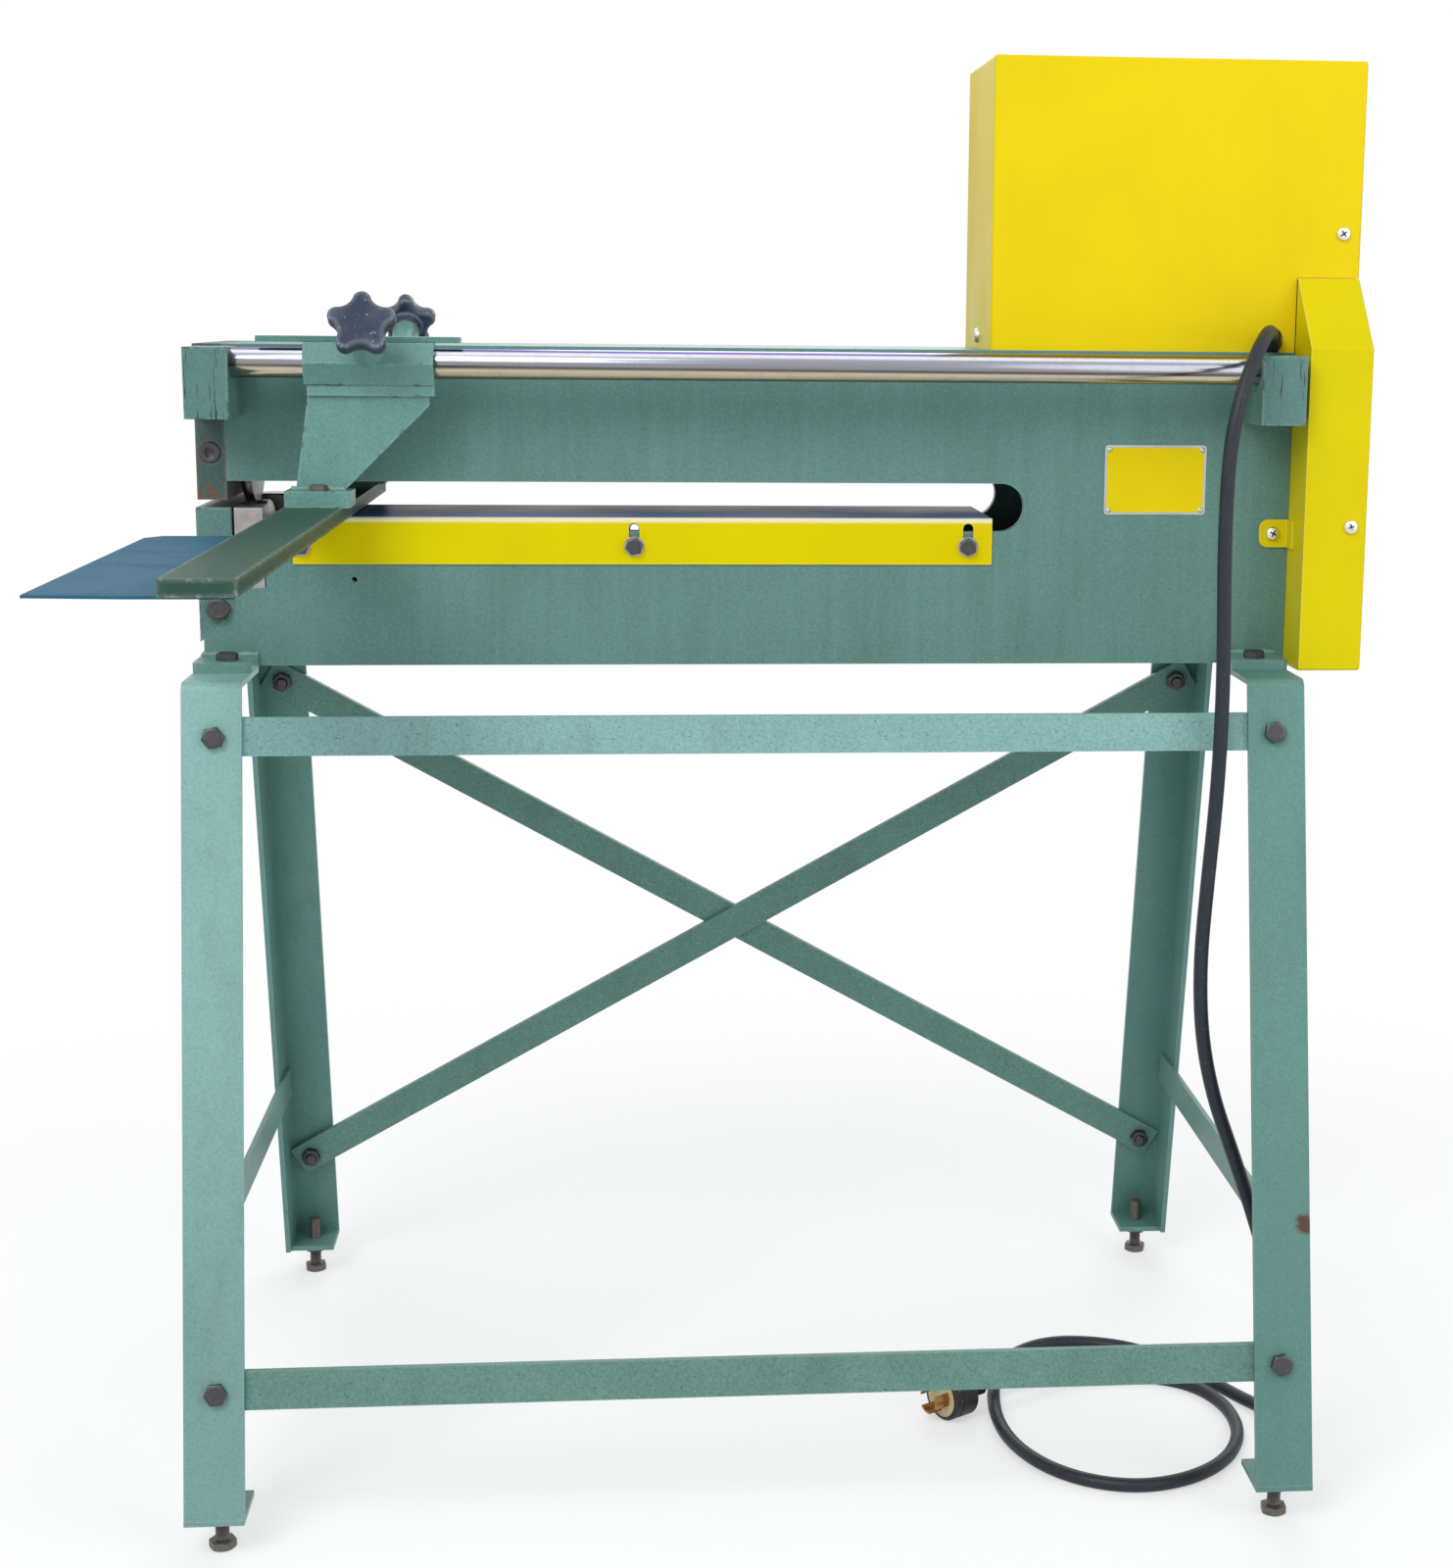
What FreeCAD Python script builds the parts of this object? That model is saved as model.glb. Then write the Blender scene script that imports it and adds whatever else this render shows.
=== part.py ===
"""Floor-standing sheet metal slitter: a throat beam with powered cutters on a splayed stand.

Millimetres. X runs along the beam towards the drive end, Y from the operator towards the back,
Z up. Every size below is measured from the centre of the stand on the floor. The finished
pieces are moved together at the end, so that the origin lies on the floor in the middle of
the machine's footprint box.
"""
import FreeCAD, Part
import math
import os

Vec = FreeCAD.Vector

# Clearances
RUNNING_FIT = 0.05      # radial, between a shaft and its bore
BOLT_CLEARANCE = 0.25   # radial, between a bolt and its hole
SIDE_GAP = 0.3          # between faces that slide or turn past each other
THROUGH = 60.0          # length of a hole that goes right through

# Stand
STAND_WIDTH = 960.0
STAND_DEPTH = 400.0     # across the leg faces at the top
STAND_HEIGHT = 722.5    # floor to the top flanges that the beam rests on
LEG_SPLAY = 0.20        # run out per unit of drop
LEG_FACE = 50.0
LEG_RETURN = 60.0
LEG_WALL = 5.0
LEG_TOP_FLANGE = 98.0
LEG_BEND = 9.0
FOOT_FLANGE = 55.0
FOOT_HEIGHT = 32.0      # floor to the underside of the foot flange
RAIL_HEIGHT = 32.0
RAIL_WALL = 5.0
UPPER_RAIL_DROP = 45.5  # from the top of the stand to the rail's middle
LOWER_RAIL_Z = 140.0
SIDE_RAIL_Z = 220.0
BRACE_TOP_DROP = 55.5
BRACE_LOW_Z = 136.0
BRACE_WIDTH = 32.0
BRACE_WASHER_RADIUS = 11.0

# Hexagon bolts and nuts, as shares of the thread's diameter
HEX_FLATS = 1.6
HEAD_HEIGHT = 0.65
NUT_HEIGHT = 0.8

# Fasteners of the stand
STAND_BOLT = 10.0
STAND_BOLT_INSET = 27.0  # from the outside of the stand to the bolt lines
THREAD_SHOWING = 12.0    # of each bolt past what it grips
MOUNT_PLATE_DEPTH = 48.0
MOUNT_PLATE_THICK = 9.0
MOUNT_BOLT_OUT = 28.8    # from the face of the beam
MOUNT_PLATE_CORNER = 4.0
LEVELLING_BOLT = 12.0
LEVELLING_STUD = 22.0    # stud showing above the foot flange
LEVELLING_INSET = 27.0   # from the leg's face to the bolt

# Sheet metal screws of the covers
SCREW_RADIUS = 2.4
SCREW_HEAD_RADIUS = 6.5
SCREW_HEAD_HEIGHT = 3.4
SCREW_BITE = 6.0         # length past the sheet

# Beam
BEAM_INSET = 3.0         # left end, inside the stand's side
BEAM_OVERHANG = 7.0      # right end, outside the stand's side
BEAM_DEPTH = 194.0
SIDE_WALL = 12.0
SLOT_HEIGHT = 42.8
SLOT_RISE = 24.2         # from the line of cut to the slot's top
SLOT_END_INSET = 262.0   # from the beam's right end to the centre of the slot's round end
TAPPED_HOLE = (131.4, 75.7, 2.5)  # right of the beam's left end, above its bottom, radius

# Arbors, cutters and gears
LOWER_AXIS_RISE = 83.5   # from the bottom of the beam
UPPER_AXIS_DROP = 87.5   # from the top of the beam
GEAR_MODULE = 3.0
GEAR_TEETH = 36
GEAR_BACKLASH = 0.6
PRESSURE_ANGLE = 20.0
GEAR_DEDENDUM = 1.25     # in modules
GEAR_WIDTH = 20.0
GEAR_STANDOFF = 4.0      # from the beam's right end
GEAR_HUB_RADIUS = 22.0
ARBOR_RADIUS = 17.5
JOURNAL_RADIUS = 15.0
GEAR_SEAT_RADIUS = 14.0
ARBOR_END = 2.0          # arbor showing past its last wheel
BUSH_WALL = 6.0
CUTTER_LAP = 0.75        # that each cutter's edge reaches past the line of cut
CUTTER_WIDTH = 9.0
CUTTER_PLANE_INSET = 37.0  # from the beam's left end to where the cutters pass each other
CUTTER_HUB_RADIUS = 26.0

# Cutter end
UPPER_BLOCK_PROUD = 1.0  # past the beam's left end
UPPER_BLOCK_WIDTH = 25.4
UPPER_BLOCK_RISE = 7.8   # from the line of cut to the block's bottom
LOWER_BLOCK_PROUD = 3.0
LOWER_BLOCK_WIDTH = 30.5
LOWER_BLOCK_RISE = 1.0
LOWER_SHOULDER = 51.5    # from the bottom of the beam to the block's bevel
GUIDE_BLOCK_GAP = 2.0    # from the lower block
GUIDE_BLOCK_WIDTH = 24.7
GUIDE_BLOCK_HEIGHT = 71.1
GUIDE_BLOCK_RISE = 1.8
GUIDE_BLOCK_LIP = 1.5
GUIDE_BLOCK_ROOM = 7.25  # from the cutter to the block
BEARING_BLOCK_INSET = 57.0
BEARING_BLOCK_WIDTH = 25.0
BEARING_BLOCK_GAP = 3.0  # from the slot's level
BLOCK_BOLT = 11.0
BLOCK_BOLT_DEPTH = 26.0
LOWER_BOLT_DROP = 33.3   # from the arbor's axis down to the pinch bolt
LOWER_BOLT_SHIFT = 1.5   # right of the block's middle
UPPER_BOLT_DROP = 5.4
UPPER_BOLT_SHIFT = -0.7
SOCKET_HEAD_RADIUS = 9.0
SOCKET_HEAD_LENGTH = 10.0
SOCKET_HEAD_SUNK = 8.0
SOCKET_FLATS = 8.0
SOCKET_SHANK = 12.0

# Chain drive
CHAIN_PITCH = 19.05
LARGE_TEETH = 20
SMALL_TEETH = 8
CHAIN_STANDOFF = 39.0    # from the beam's right end to the chain's middle
SPROCKET_WIDTH = 11.6
SEAT_REACH = 70.0        # degrees that a roller's seat turns, each side of its bottom
SPROCKET_TIP = (0.8, 0.28)  # height over the pitch circle and half width, in roller radii
LARGE_HUB_RADIUS = 24.0
SMALL_HUB_LENGTH = 18.0
ROLLER_WIDTH = 12.4
ROLLER_RADIUS = 5.8
ROLLER_SIDES = 8
LINK_HEIGHT = 15.5
LINK_WALL = 2.2
OUTPUT_RADIUS = 10.0
OUTPUT_RISE = 23.0       # least height of the output shaft above the motor's base plate

# Drive cover and its tabs
SHEET = 2.0
COVER_REACH = 56.5       # past the beam's right end
COVER_OVERLAP = 55.0     # past each cheek
COVER_BOTTOM_RISE = 0.5
COVER_RISE = 35.34       # above the output shaft
COVER_BEVEL_DROP = 61.0
COVER_FOLD = 2.5
COVER_SCREW = (41.7, 10.5)  # right of the cover's edge, above the tab's screw
TAB_SCREW_INSET = 14.5   # from the cover's edge
TAB_SCREW_RISE = 118.0   # from the bottom of the beam
TAB_WIDTH = 25.0
TAB_END = 12.3           # from the screw to the tab's round end
TAB_CORNER = 8.0
TAB_REACH = 18.0

# Motor cover
MOTOR_BOX_LENGTH = 330.4
MOTOR_BOX_INSET = (2.0, 21.0)  # front and back, from the faces of the beam
MOTOR_BOX_HEIGHT = 252.5
NOTCH_INSET = (29.7, 14.3)  # from the beam's right end
NOTCH_RISE = 20.5
BOX_SCREW = (16.5, 38.7)    # from the right end, above the drive cover
BASE_SCREW_Y = -13.0
BASE_SCREW_RISE = 12.0

# Gearmotor
MOTOR_RADIUS = 62.0
MOTOR_RISE = 156.5
MOTOR_LENGTH = 166.0
FAN_COVER_LENGTH = 34.0
GEARBOX_INSET = (87.0, 9.0)  # from the beam's right end
GEARBOX_HALF = 40.0
GEARBOX_FEET = (-70.0, 60.0)
GEARBOX_FOOT = 10.0
OUTPUT_BOSS_RADIUS = 18.0
OUTPUT_DEPTH = 38.0      # of the output shaft inside the gearbox
MOTOR_BASE_THICK = 6.0
BASE_MARGIN = (12.0, 10.0)   # from the front and the back of the motor cover
BASE_TAB_HEIGHT = 22.0
BASE_TAB_HALF = 27.0
TERMINAL_BOX = (56.0, 60.0, 52.0, 24.0)  # from the motor's end, length, width, height

# Guide bars
BAR_RADIUS = 12.5
BAR_STANDOFF = 53.0      # from the cheek to the bar's axis
BAR_DROP = 14.7          # from the top of the beam
SPIGOT_RADIUS = 8.0
SPIGOT_LENGTH = 20.0
LEFT_BRACKET = (3.0, 37.0)   # from the beam's left end, width
RIGHT_BRACKET = (46.0, 39.0)  # from the beam's right end, width
BRACKET_LIP = 0.3        # above the bar
BRACKET_HEIGHT = 59.6
BRACKET_NOSE = 20.0      # past the bar's axis

# Fence carriage
SLEEVE_START = 101.0     # from the beam's left end
SLEEVE_LENGTH = 108.0
SLEEVE_WALL = 5.0
BOSS_OFFSET = 54.0       # from the sleeve's left end
BOSS_RADIUS = 12.5
BOSS_END = 46.0          # from the bar's axis
CLAMP_TILT = 30.0        # degrees above level
STUD_RADIUS = 5.0
STUD_GRIP = 8.0          # of the stud inside the knob
KNOB_HUB_END = 57.5
KNOB_THICK = 14.0
KNOB_LOBES = 5
KNOB_LOBE_RADIUS = 7.6
KNOB_LOBE_AT = 21.2
KNOB_HOLLOW_RADIUS = 13.0
KNOB_BEVEL = 2.0
KNOB_HUB_RADII = (11.5, 14.5)
FENCE_START = 81.5       # from the beam's left end
FENCE_WIDTH = 49.5
FENCE_THICK = 12.0
FENCE_RISE = 6.5         # from the line of cut to its top
FENCE_NEAR = 582.0       # past the front bar
FENCE_FAR = 50.0         # past the rear bar
HANGER_WALL = 8.0
HANGER_BOTTOM = (9.5, 1.0)   # inside the fence's left side, past its right side
HANGER_TOP = (2.0, 4.7)      # inside the sleeve's left end and its right end
LEDGE_HEIGHT = 9.5
LEDGE_HALF = 8.0
FOOT_PLATE_THICK = 14.0
FOOT_PLATE_HALF = 22.0
FOOT_PLATE_X = (1.5, 7.0)    # inside the fence's left side, past its right side
FOOT_BOLT = 8.0
FOOT_BOLT_PLACE = (29.5, 13.0)  # from the fence's left side, past the bar
POINTER_ENDS = (40.0, 22.0)  # past the sleeve's left end and its right end
POINTER_SIDES = (-5.0, 13.0)  # from the bar's axis
POINTER_THICK = 5.0
POINTER_TIP = (12.0, 6.0)
SUPPORT_OUT = 86.5       # past the fence's left side
SUPPORT_UNDER = 4.0      # short of the fence's right side
SUPPORT_NEAR = 10.0      # behind the fence's near end
SUPPORT_LENGTH = 422.0
SUPPORT_CORNERS = (62.0, 6.0, 12.0, 18.0)

# Shaft guard
GUARD_INSET = 79.0       # from the beam's left end
GUARD_SHORT = 7.5        # of the centre of the slot's round end
GUARD_RISE = 11.8        # above the slot's bottom
GUARD_HEIGHT = 41.2
GUARD_BACK_Y = 45.0
GUARD_BOLT = 8.0
GUARD_BOLT_LENGTH = 22.0
GUARD_BOLT_RISE = 16.0
GUARD_SLOT = 16.0
GUARD_SLOT_WIDTH = 9.2
GUARD_FOLD = 1.8
GUARD_BOLT_INSETS = (608.5, 318.5, 21.5)  # from the guard's right end

# Nameplate
PLATE_INSET = 169.0      # from the beam's right end to its left edge
PLATE_DROP = 82.5        # from the top of the beam
PLATE_WIDTH = 92.0
PLATE_HEIGHT = 62.0
PLATE_THICK = 1.0
PLATE_CORNER = 2.0
RIVET_INSET = 4.0
RIVET_RADIUS = 2.0
RIVET_PROUD = 0.8

# Power cord: points that its route turns at, from the gland to the plug
CORD_DIAMETER = 12.5
CORD_SIDES = 8
CORD_TRIM = 0.45         # share of the shorter run that an arc takes
CORD_ROUTE = [
    (465, -101, 1012), (455, -138, 1021), (441, -174, 1018), (424, -201, 996),
    (410, -213, 961), (402, -216, 915), (401, -217, 840), (403, -219, 760),
    (403, -222, 690), (400, -225, 620), (394, -227, 545), (390, -227, 475),
    (394, -225, 410), (407, -223, 352), (427, -220, 300), (447, -217, 245),
    (465, -214, 190), (478, -212, 137), (487, -205, 87), (495, -186, 46),
    (500, -155, 20), (492, -120, 7.5), (476, -92, 6.5), (459, -60, 6.5),
    (441, -28, 6.5), (421, 2, 6.5), (394, 29, 6.5), (357, 46, 6.5),
    (316, 50, 6.5), (279, 31, 6.5), (253, -7, 6.5), (239, -63, 6.5),
    (234, -124, 6.5), (242, -179, 6.5), (265, -226, 6.5), (301, -258, 6.5),
    (346, -270, 6.5), (392, -257, 6.5), (430, -226, 6.5), (453, -183, 6.5),
    (460, -140, 6.5), (455, -98, 6.5), (436, -62, 6.5), (405, -42, 6.5),
    (364, -34, 6.5), (322, -36, 7), (285, -46, 15), (252, -63, 23),
    (224, -81.5, 23),
]
PLUG_RADIUS = 23.0
PLUG_BODY = 34.0
PLUG_NECK = 16.0
PLUG_NECK_RADIUS = 10.0
BLADE_RADII = (10.5, 12.5)
BLADE_LENGTH = 15.0
BLADE_ARC = 62.0
BLADE_STARTS = (20.0, 140.0, 260.0)
GLAND_LIP = 2.0
GLAND_PROUD = 2.5
GLAND_MOUTH = (6.0, 2.3)  # in front of the cover, below the notch's round
GLAND_ROOT = 14.0        # of the tapered sleeve behind the mouth
GLAND_SLEEVE = 19.0      # of the sleeve past the mouth
GLAND_RADII = (9.0, 7.4)

# Places that follow from the sizes above, along the beam
HALF_WIDTH = STAND_WIDTH / 2
BOLT_LINE_X = HALF_WIDTH - STAND_BOLT_INSET
BEAM_LEFT = BEAM_INSET - HALF_WIDTH
BEAM_RIGHT = HALF_WIDTH + BEAM_OVERHANG
UPPER_BLOCK = (BEAM_LEFT - UPPER_BLOCK_PROUD, BEAM_LEFT - UPPER_BLOCK_PROUD + UPPER_BLOCK_WIDTH)
LOWER_BLOCK = (BEAM_LEFT - LOWER_BLOCK_PROUD, BEAM_LEFT - LOWER_BLOCK_PROUD + LOWER_BLOCK_WIDTH)
GUIDE_BLOCK = (LOWER_BLOCK[1] + GUIDE_BLOCK_GAP,
               LOWER_BLOCK[1] + GUIDE_BLOCK_GAP + GUIDE_BLOCK_WIDTH)
BEARING_BLOCK = (BEAM_LEFT + BEARING_BLOCK_INSET,
                 BEAM_LEFT + BEARING_BLOCK_INSET + BEARING_BLOCK_WIDTH)
CUTTER_LAP_X = BEAM_LEFT + CUTTER_PLANE_INSET
BRACKETS = ((BEAM_LEFT + LEFT_BRACKET[0], BEAM_LEFT + sum(LEFT_BRACKET)),
            (BEAM_RIGHT - RIGHT_BRACKET[0], BEAM_RIGHT - RIGHT_BRACKET[0] + RIGHT_BRACKET[1]))
SLEEVE_X = (BEAM_LEFT + SLEEVE_START, BEAM_LEFT + SLEEVE_START + SLEEVE_LENGTH)
BOSS_X = SLEEVE_X[0] + BOSS_OFFSET
FENCE_X = (BEAM_LEFT + FENCE_START, BEAM_LEFT + FENCE_START + FENCE_WIDTH)
FOOT_BOLT_X = FENCE_X[0] + FOOT_BOLT_PLACE[0]
SLOT_END_X = BEAM_RIGHT - SLOT_END_INSET
GUARD_X = (BEAM_LEFT + GUARD_INSET, SLOT_END_X - GUARD_SHORT)
GUARD_BOLTS_X = [GUARD_X[1] - inset for inset in GUARD_BOLT_INSETS]
COVER_LEFT = BEAM_RIGHT + SIDE_GAP
COVER_RIGHT = BEAM_RIGHT + COVER_REACH
TAB_SCREW_X = COVER_LEFT - TAB_SCREW_INSET
MOTOR_BOX_X = (COVER_RIGHT - MOTOR_BOX_LENGTH, COVER_RIGHT)
NOTCH_X = (BEAM_RIGHT - NOTCH_INSET[0], BEAM_RIGHT - NOTCH_INSET[1])
GEARBOX_X = (BEAM_RIGHT - GEARBOX_INSET[0], BEAM_RIGHT - GEARBOX_INSET[1])
GEAR_START = BEAM_RIGHT + GEAR_STANDOFF
CHAIN_X = BEAM_RIGHT + CHAIN_STANDOFF
PLATE_X = (BEAM_RIGHT - PLATE_INSET, BEAM_RIGHT - PLATE_INSET + PLATE_WIDTH)

# Across the beam
HALF_BEAM = BEAM_DEPTH / 2
BAR_Y = HALF_BEAM + BAR_STANDOFF
FOOT_BOLT_Y = -BAR_Y - FOOT_BOLT_PLACE[1]
FENCE_NEAR_Y = -BAR_Y - FENCE_NEAR
COVER_HALF_DEPTH = HALF_BEAM + COVER_OVERLAP
MOTOR_BOX_Y = (MOTOR_BOX_INSET[0] - HALF_BEAM, HALF_BEAM - MOTOR_BOX_INSET[1])

# Upwards, as far as the shafts
BEAM_BOTTOM = STAND_HEIGHT
UPPER_RAIL_Z = STAND_HEIGHT - UPPER_RAIL_DROP
BRACE_TOP_Z = STAND_HEIGHT - BRACE_TOP_DROP
PITCH_RADIUS = GEAR_MODULE * GEAR_TEETH / 2
LOWER_AXIS_Z = BEAM_BOTTOM + LOWER_AXIS_RISE
CUT_LINE = LOWER_AXIS_Z + PITCH_RADIUS
UPPER_AXIS_Z = CUT_LINE + PITCH_RADIUS
BEAM_TOP = UPPER_AXIS_Z + UPPER_AXIS_DROP
CUTTER_RADIUS = PITCH_RADIUS + CUTTER_LAP
LARGE_PITCH = CHAIN_PITCH / (2 * math.sin(math.pi / LARGE_TEETH))
SMALL_PITCH = CHAIN_PITCH / (2 * math.sin(math.pi / SMALL_TEETH))


def chain_span(distance):
    """Lean of the straight runs and their length, at a centre distance."""
    lean = math.asin((LARGE_PITCH - SMALL_PITCH) / distance)
    return lean, distance * math.cos(lean)


def chain_pitches(distance):
    """Pitches in the whole loop at a centre distance."""
    lean, span = chain_span(distance)
    large = LARGE_TEETH * (0.5 + lean / math.pi)
    small = SMALL_TEETH * (0.5 - lean / math.pi)
    return large + small + 2 * span / CHAIN_PITCH


def chain_links():
    """Smallest even number of links that lifts the output shaft clear of the motor's base."""
    rise = BEAM_TOP + MOTOR_BASE_THICK + OUTPUT_RISE - LOWER_AXIS_Z
    return 2 * math.ceil(chain_pitches(rise) / 2)


def chain_distance():
    """Centre distance at which a whole number of links closes."""
    low, high = LARGE_PITCH, CHAIN_LINKS * CHAIN_PITCH
    for _ in range(60):
        middle = (low + high) / 2
        if chain_pitches(middle) < CHAIN_LINKS:
            low = middle
        else:
            high = middle
    return middle


# Upwards, from the shafts on

CHAIN_LINKS = chain_links()
OUTPUT_Z = LOWER_AXIS_Z + chain_distance()
SLOT_TOP = CUT_LINE + SLOT_RISE
SLOT_RADIUS = SLOT_HEIGHT / 2
SLOT_BOTTOM = SLOT_TOP - SLOT_HEIGHT
UPPER_BLOCK_BOTTOM = CUT_LINE + UPPER_BLOCK_RISE
LOWER_BLOCK_TOP = CUT_LINE + LOWER_BLOCK_RISE
LOWER_BLOCK_SHOULDER = BEAM_BOTTOM + LOWER_SHOULDER
GUIDE_BLOCK_TOP = CUT_LINE + GUIDE_BLOCK_RISE
GUIDE_BLOCK_BOTTOM = GUIDE_BLOCK_TOP - GUIDE_BLOCK_HEIGHT
GUARD_TOP = SLOT_BOTTOM + GUARD_RISE
GUARD_BOTTOM = GUARD_TOP - GUARD_HEIGHT
GUARD_BOLT_Z = GUARD_BOTTOM + GUARD_BOLT_RISE
FENCE_TOP = CUT_LINE + FENCE_RISE
FENCE_BOTTOM = FENCE_TOP - FENCE_THICK
BAR_Z = BEAM_TOP - BAR_DROP
SLEEVE_HALF = BAR_RADIUS + SLEEVE_WALL
BRACKET_TOP = BAR_Z + BAR_RADIUS + BRACKET_LIP
COVER_BOTTOM = BEAM_BOTTOM + COVER_BOTTOM_RISE
COVER_TOP = OUTPUT_Z + COVER_RISE
COVER_BEVEL_Z = COVER_TOP - COVER_BEVEL_DROP
TAB_SCREW_Z = BEAM_BOTTOM + TAB_SCREW_RISE
MOTOR_BOX_TOP = BEAM_TOP + MOTOR_BOX_HEIGHT
NOTCH_TOP = BEAM_TOP + NOTCH_RISE
MOTOR_Z = BEAM_TOP + MOTOR_RISE
PLATE_Z = (BEAM_TOP - PLATE_DROP - PLATE_HEIGHT, BEAM_TOP - PLATE_DROP)
SMALL_HUB_RADIUS = SMALL_PITCH * math.cos(math.pi / SMALL_TEETH) - LINK_HEIGHT / 2 - SIDE_GAP
CLAMP_NORMAL = Vec(0, -math.cos(math.radians(CLAMP_TILT)), math.sin(math.radians(CLAMP_TILT)))

pieces = {}
cord_nodes = ("power_cord", "power_plug")


def leg_y(z):
    """Distance of a leg's outer face from the middle of the stand, at a height."""
    return STAND_DEPTH / 2 + LEG_SPLAY * (BEAM_BOTTOM - z)


def add(name, *solids):
    """Keep the solids of one named piece."""
    pieces.setdefault(name, []).extend(solids)


def box(x, y, z):
    """Block between pairs of coordinates, given in either order."""
    low = Vec(min(x), min(y), min(z))
    size = Vec(max(x), max(y), max(z)) - low
    return Part.makeBox(size.x, size.y, size.z, low)


def rod(radius, start, direction, length):
    """Cylinder from a start point along a direction."""
    return Part.makeCylinder(radius, length, Vec(*start), Vec(*direction))


def polygon(points):
    """Flat face inside a closed run of points."""
    corners = [Vec(*point) for point in points]
    return Part.Face(Part.makePolygon(corners + corners[:1]))


def slab_xz(points, y):
    """Outline in X and Z, thick in Y."""
    face = polygon([(x, min(y), z) for x, z in points])
    return face.extrude(Vec(0, max(y) - min(y), 0))


def slab_yz(points, x):
    """Outline in Y and Z, thick in X."""
    face = polygon([(min(x), y, z) for y, z in points])
    return face.extrude(Vec(max(x) - min(x), 0, 0))


def turned(profile, y, z):
    """Solid of revolution about a line along X, from (x, radius) points."""
    points = [(x, y, z + radius) for x, radius in profile]
    face = polygon([(profile[0][0], y, z)] + points + [(profile[-1][0], y, z)])
    return face.revolve(Vec(0, y, z), Vec(1, 0, 0), 360)


def placed(shape, at, direction):
    """Move a shape built upwards from the origin to a point, along a direction."""
    shape.Placement = FreeCAD.Placement(Vec(*at), FreeCAD.Rotation(Vec(0, 0, 1), Vec(*direction)))
    return shape


def mirrored_y(shape):
    """The same piece on the other side of the machine."""
    return shape.mirror(Vec(0, 0, 0), Vec(0, 1, 0))


def mirrored_x(shape):
    """The same piece at the other end of the stand."""
    return shape.mirror(Vec(0, 0, 0), Vec(1, 0, 0))


def edges_where(shape, test):
    """Edges whose middle passes a test."""
    return [edge for edge in shape.Edges if test(edge.CenterOfMass, edge)]


def runs_along(edge, axis):
    """True for a straight edge parallel to an axis."""
    if not isinstance(edge.Curve, Part.Line):
        return False
    return abs(edge.Curve.Direction.dot(axis)) > 0.999


def hexagon(flats, height, base=0.0):
    """Six-sided prism round the Z axis."""
    radius = flats / math.sqrt(3)
    corners = [(radius * math.cos(math.radians(60 * i)), radius * math.sin(math.radians(60 * i)),
                base) for i in range(6)]
    return polygon(corners).extrude(Vec(0, 0, height))


def hex_bolt(diameter, length, at, direction):
    """Hexagon-head bolt: the head stands on the point, the shank runs the other way."""
    head = hexagon(HEX_FLATS * diameter + 1, HEAD_HEIGHT * diameter)
    shank = Part.makeCylinder(diameter / 2, length, Vec(0, 0, -length))
    return placed(head.fuse(shank).removeSplitter(), at, direction)


def nut(diameter, at, direction):
    """Hexagon nut standing on a point."""
    hole = Part.makeCylinder(diameter / 2 + RUNNING_FIT, diameter * 2)
    return placed(hexagon(HEX_FLATS * diameter + 1, NUT_HEIGHT * diameter).cut(hole), at, direction)


def pan_screw(at, direction, length):
    """Pan-head sheet metal screw."""
    crown = SCREW_HEAD_RADIUS * 0.7
    profile = [(0, -length), (SCREW_RADIUS, -length), (SCREW_RADIUS, 0), (SCREW_HEAD_RADIUS, 0),
               (crown, SCREW_HEAD_HEIGHT), (0, SCREW_HEAD_HEIGHT)]
    face = polygon([(radius, 0, z) for radius, z in profile])
    return placed(face.revolve(Vec(0, 0, 0), Vec(0, 0, 1), 360), at, direction)


def bolt_hole(diameter, at, direction, depth):
    """Clearance hole on both sides of a point."""
    axis = Vec(*direction)
    start = Vec(*at) - axis * (depth / 2 / axis.Length)
    return Part.makeCylinder(diameter / 2 + BOLT_CLEARANCE, depth, start, axis)


# Stand

def front_normal():
    """Outward direction of the front leg faces."""
    normal = Vec(0, -1, LEG_SPLAY)
    return normal.normalize()


def web_point(x, z, inward=0.0):
    """Point on a front leg's face, or that far behind it."""
    return Vec(x, -leg_y(z), z) - front_normal() * inward


def front_left_leg():
    """Angle iron with bent ends, drilled for the front rails."""
    return drilled_leg((UPPER_RAIL_Z, LOWER_RAIL_Z))


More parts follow.
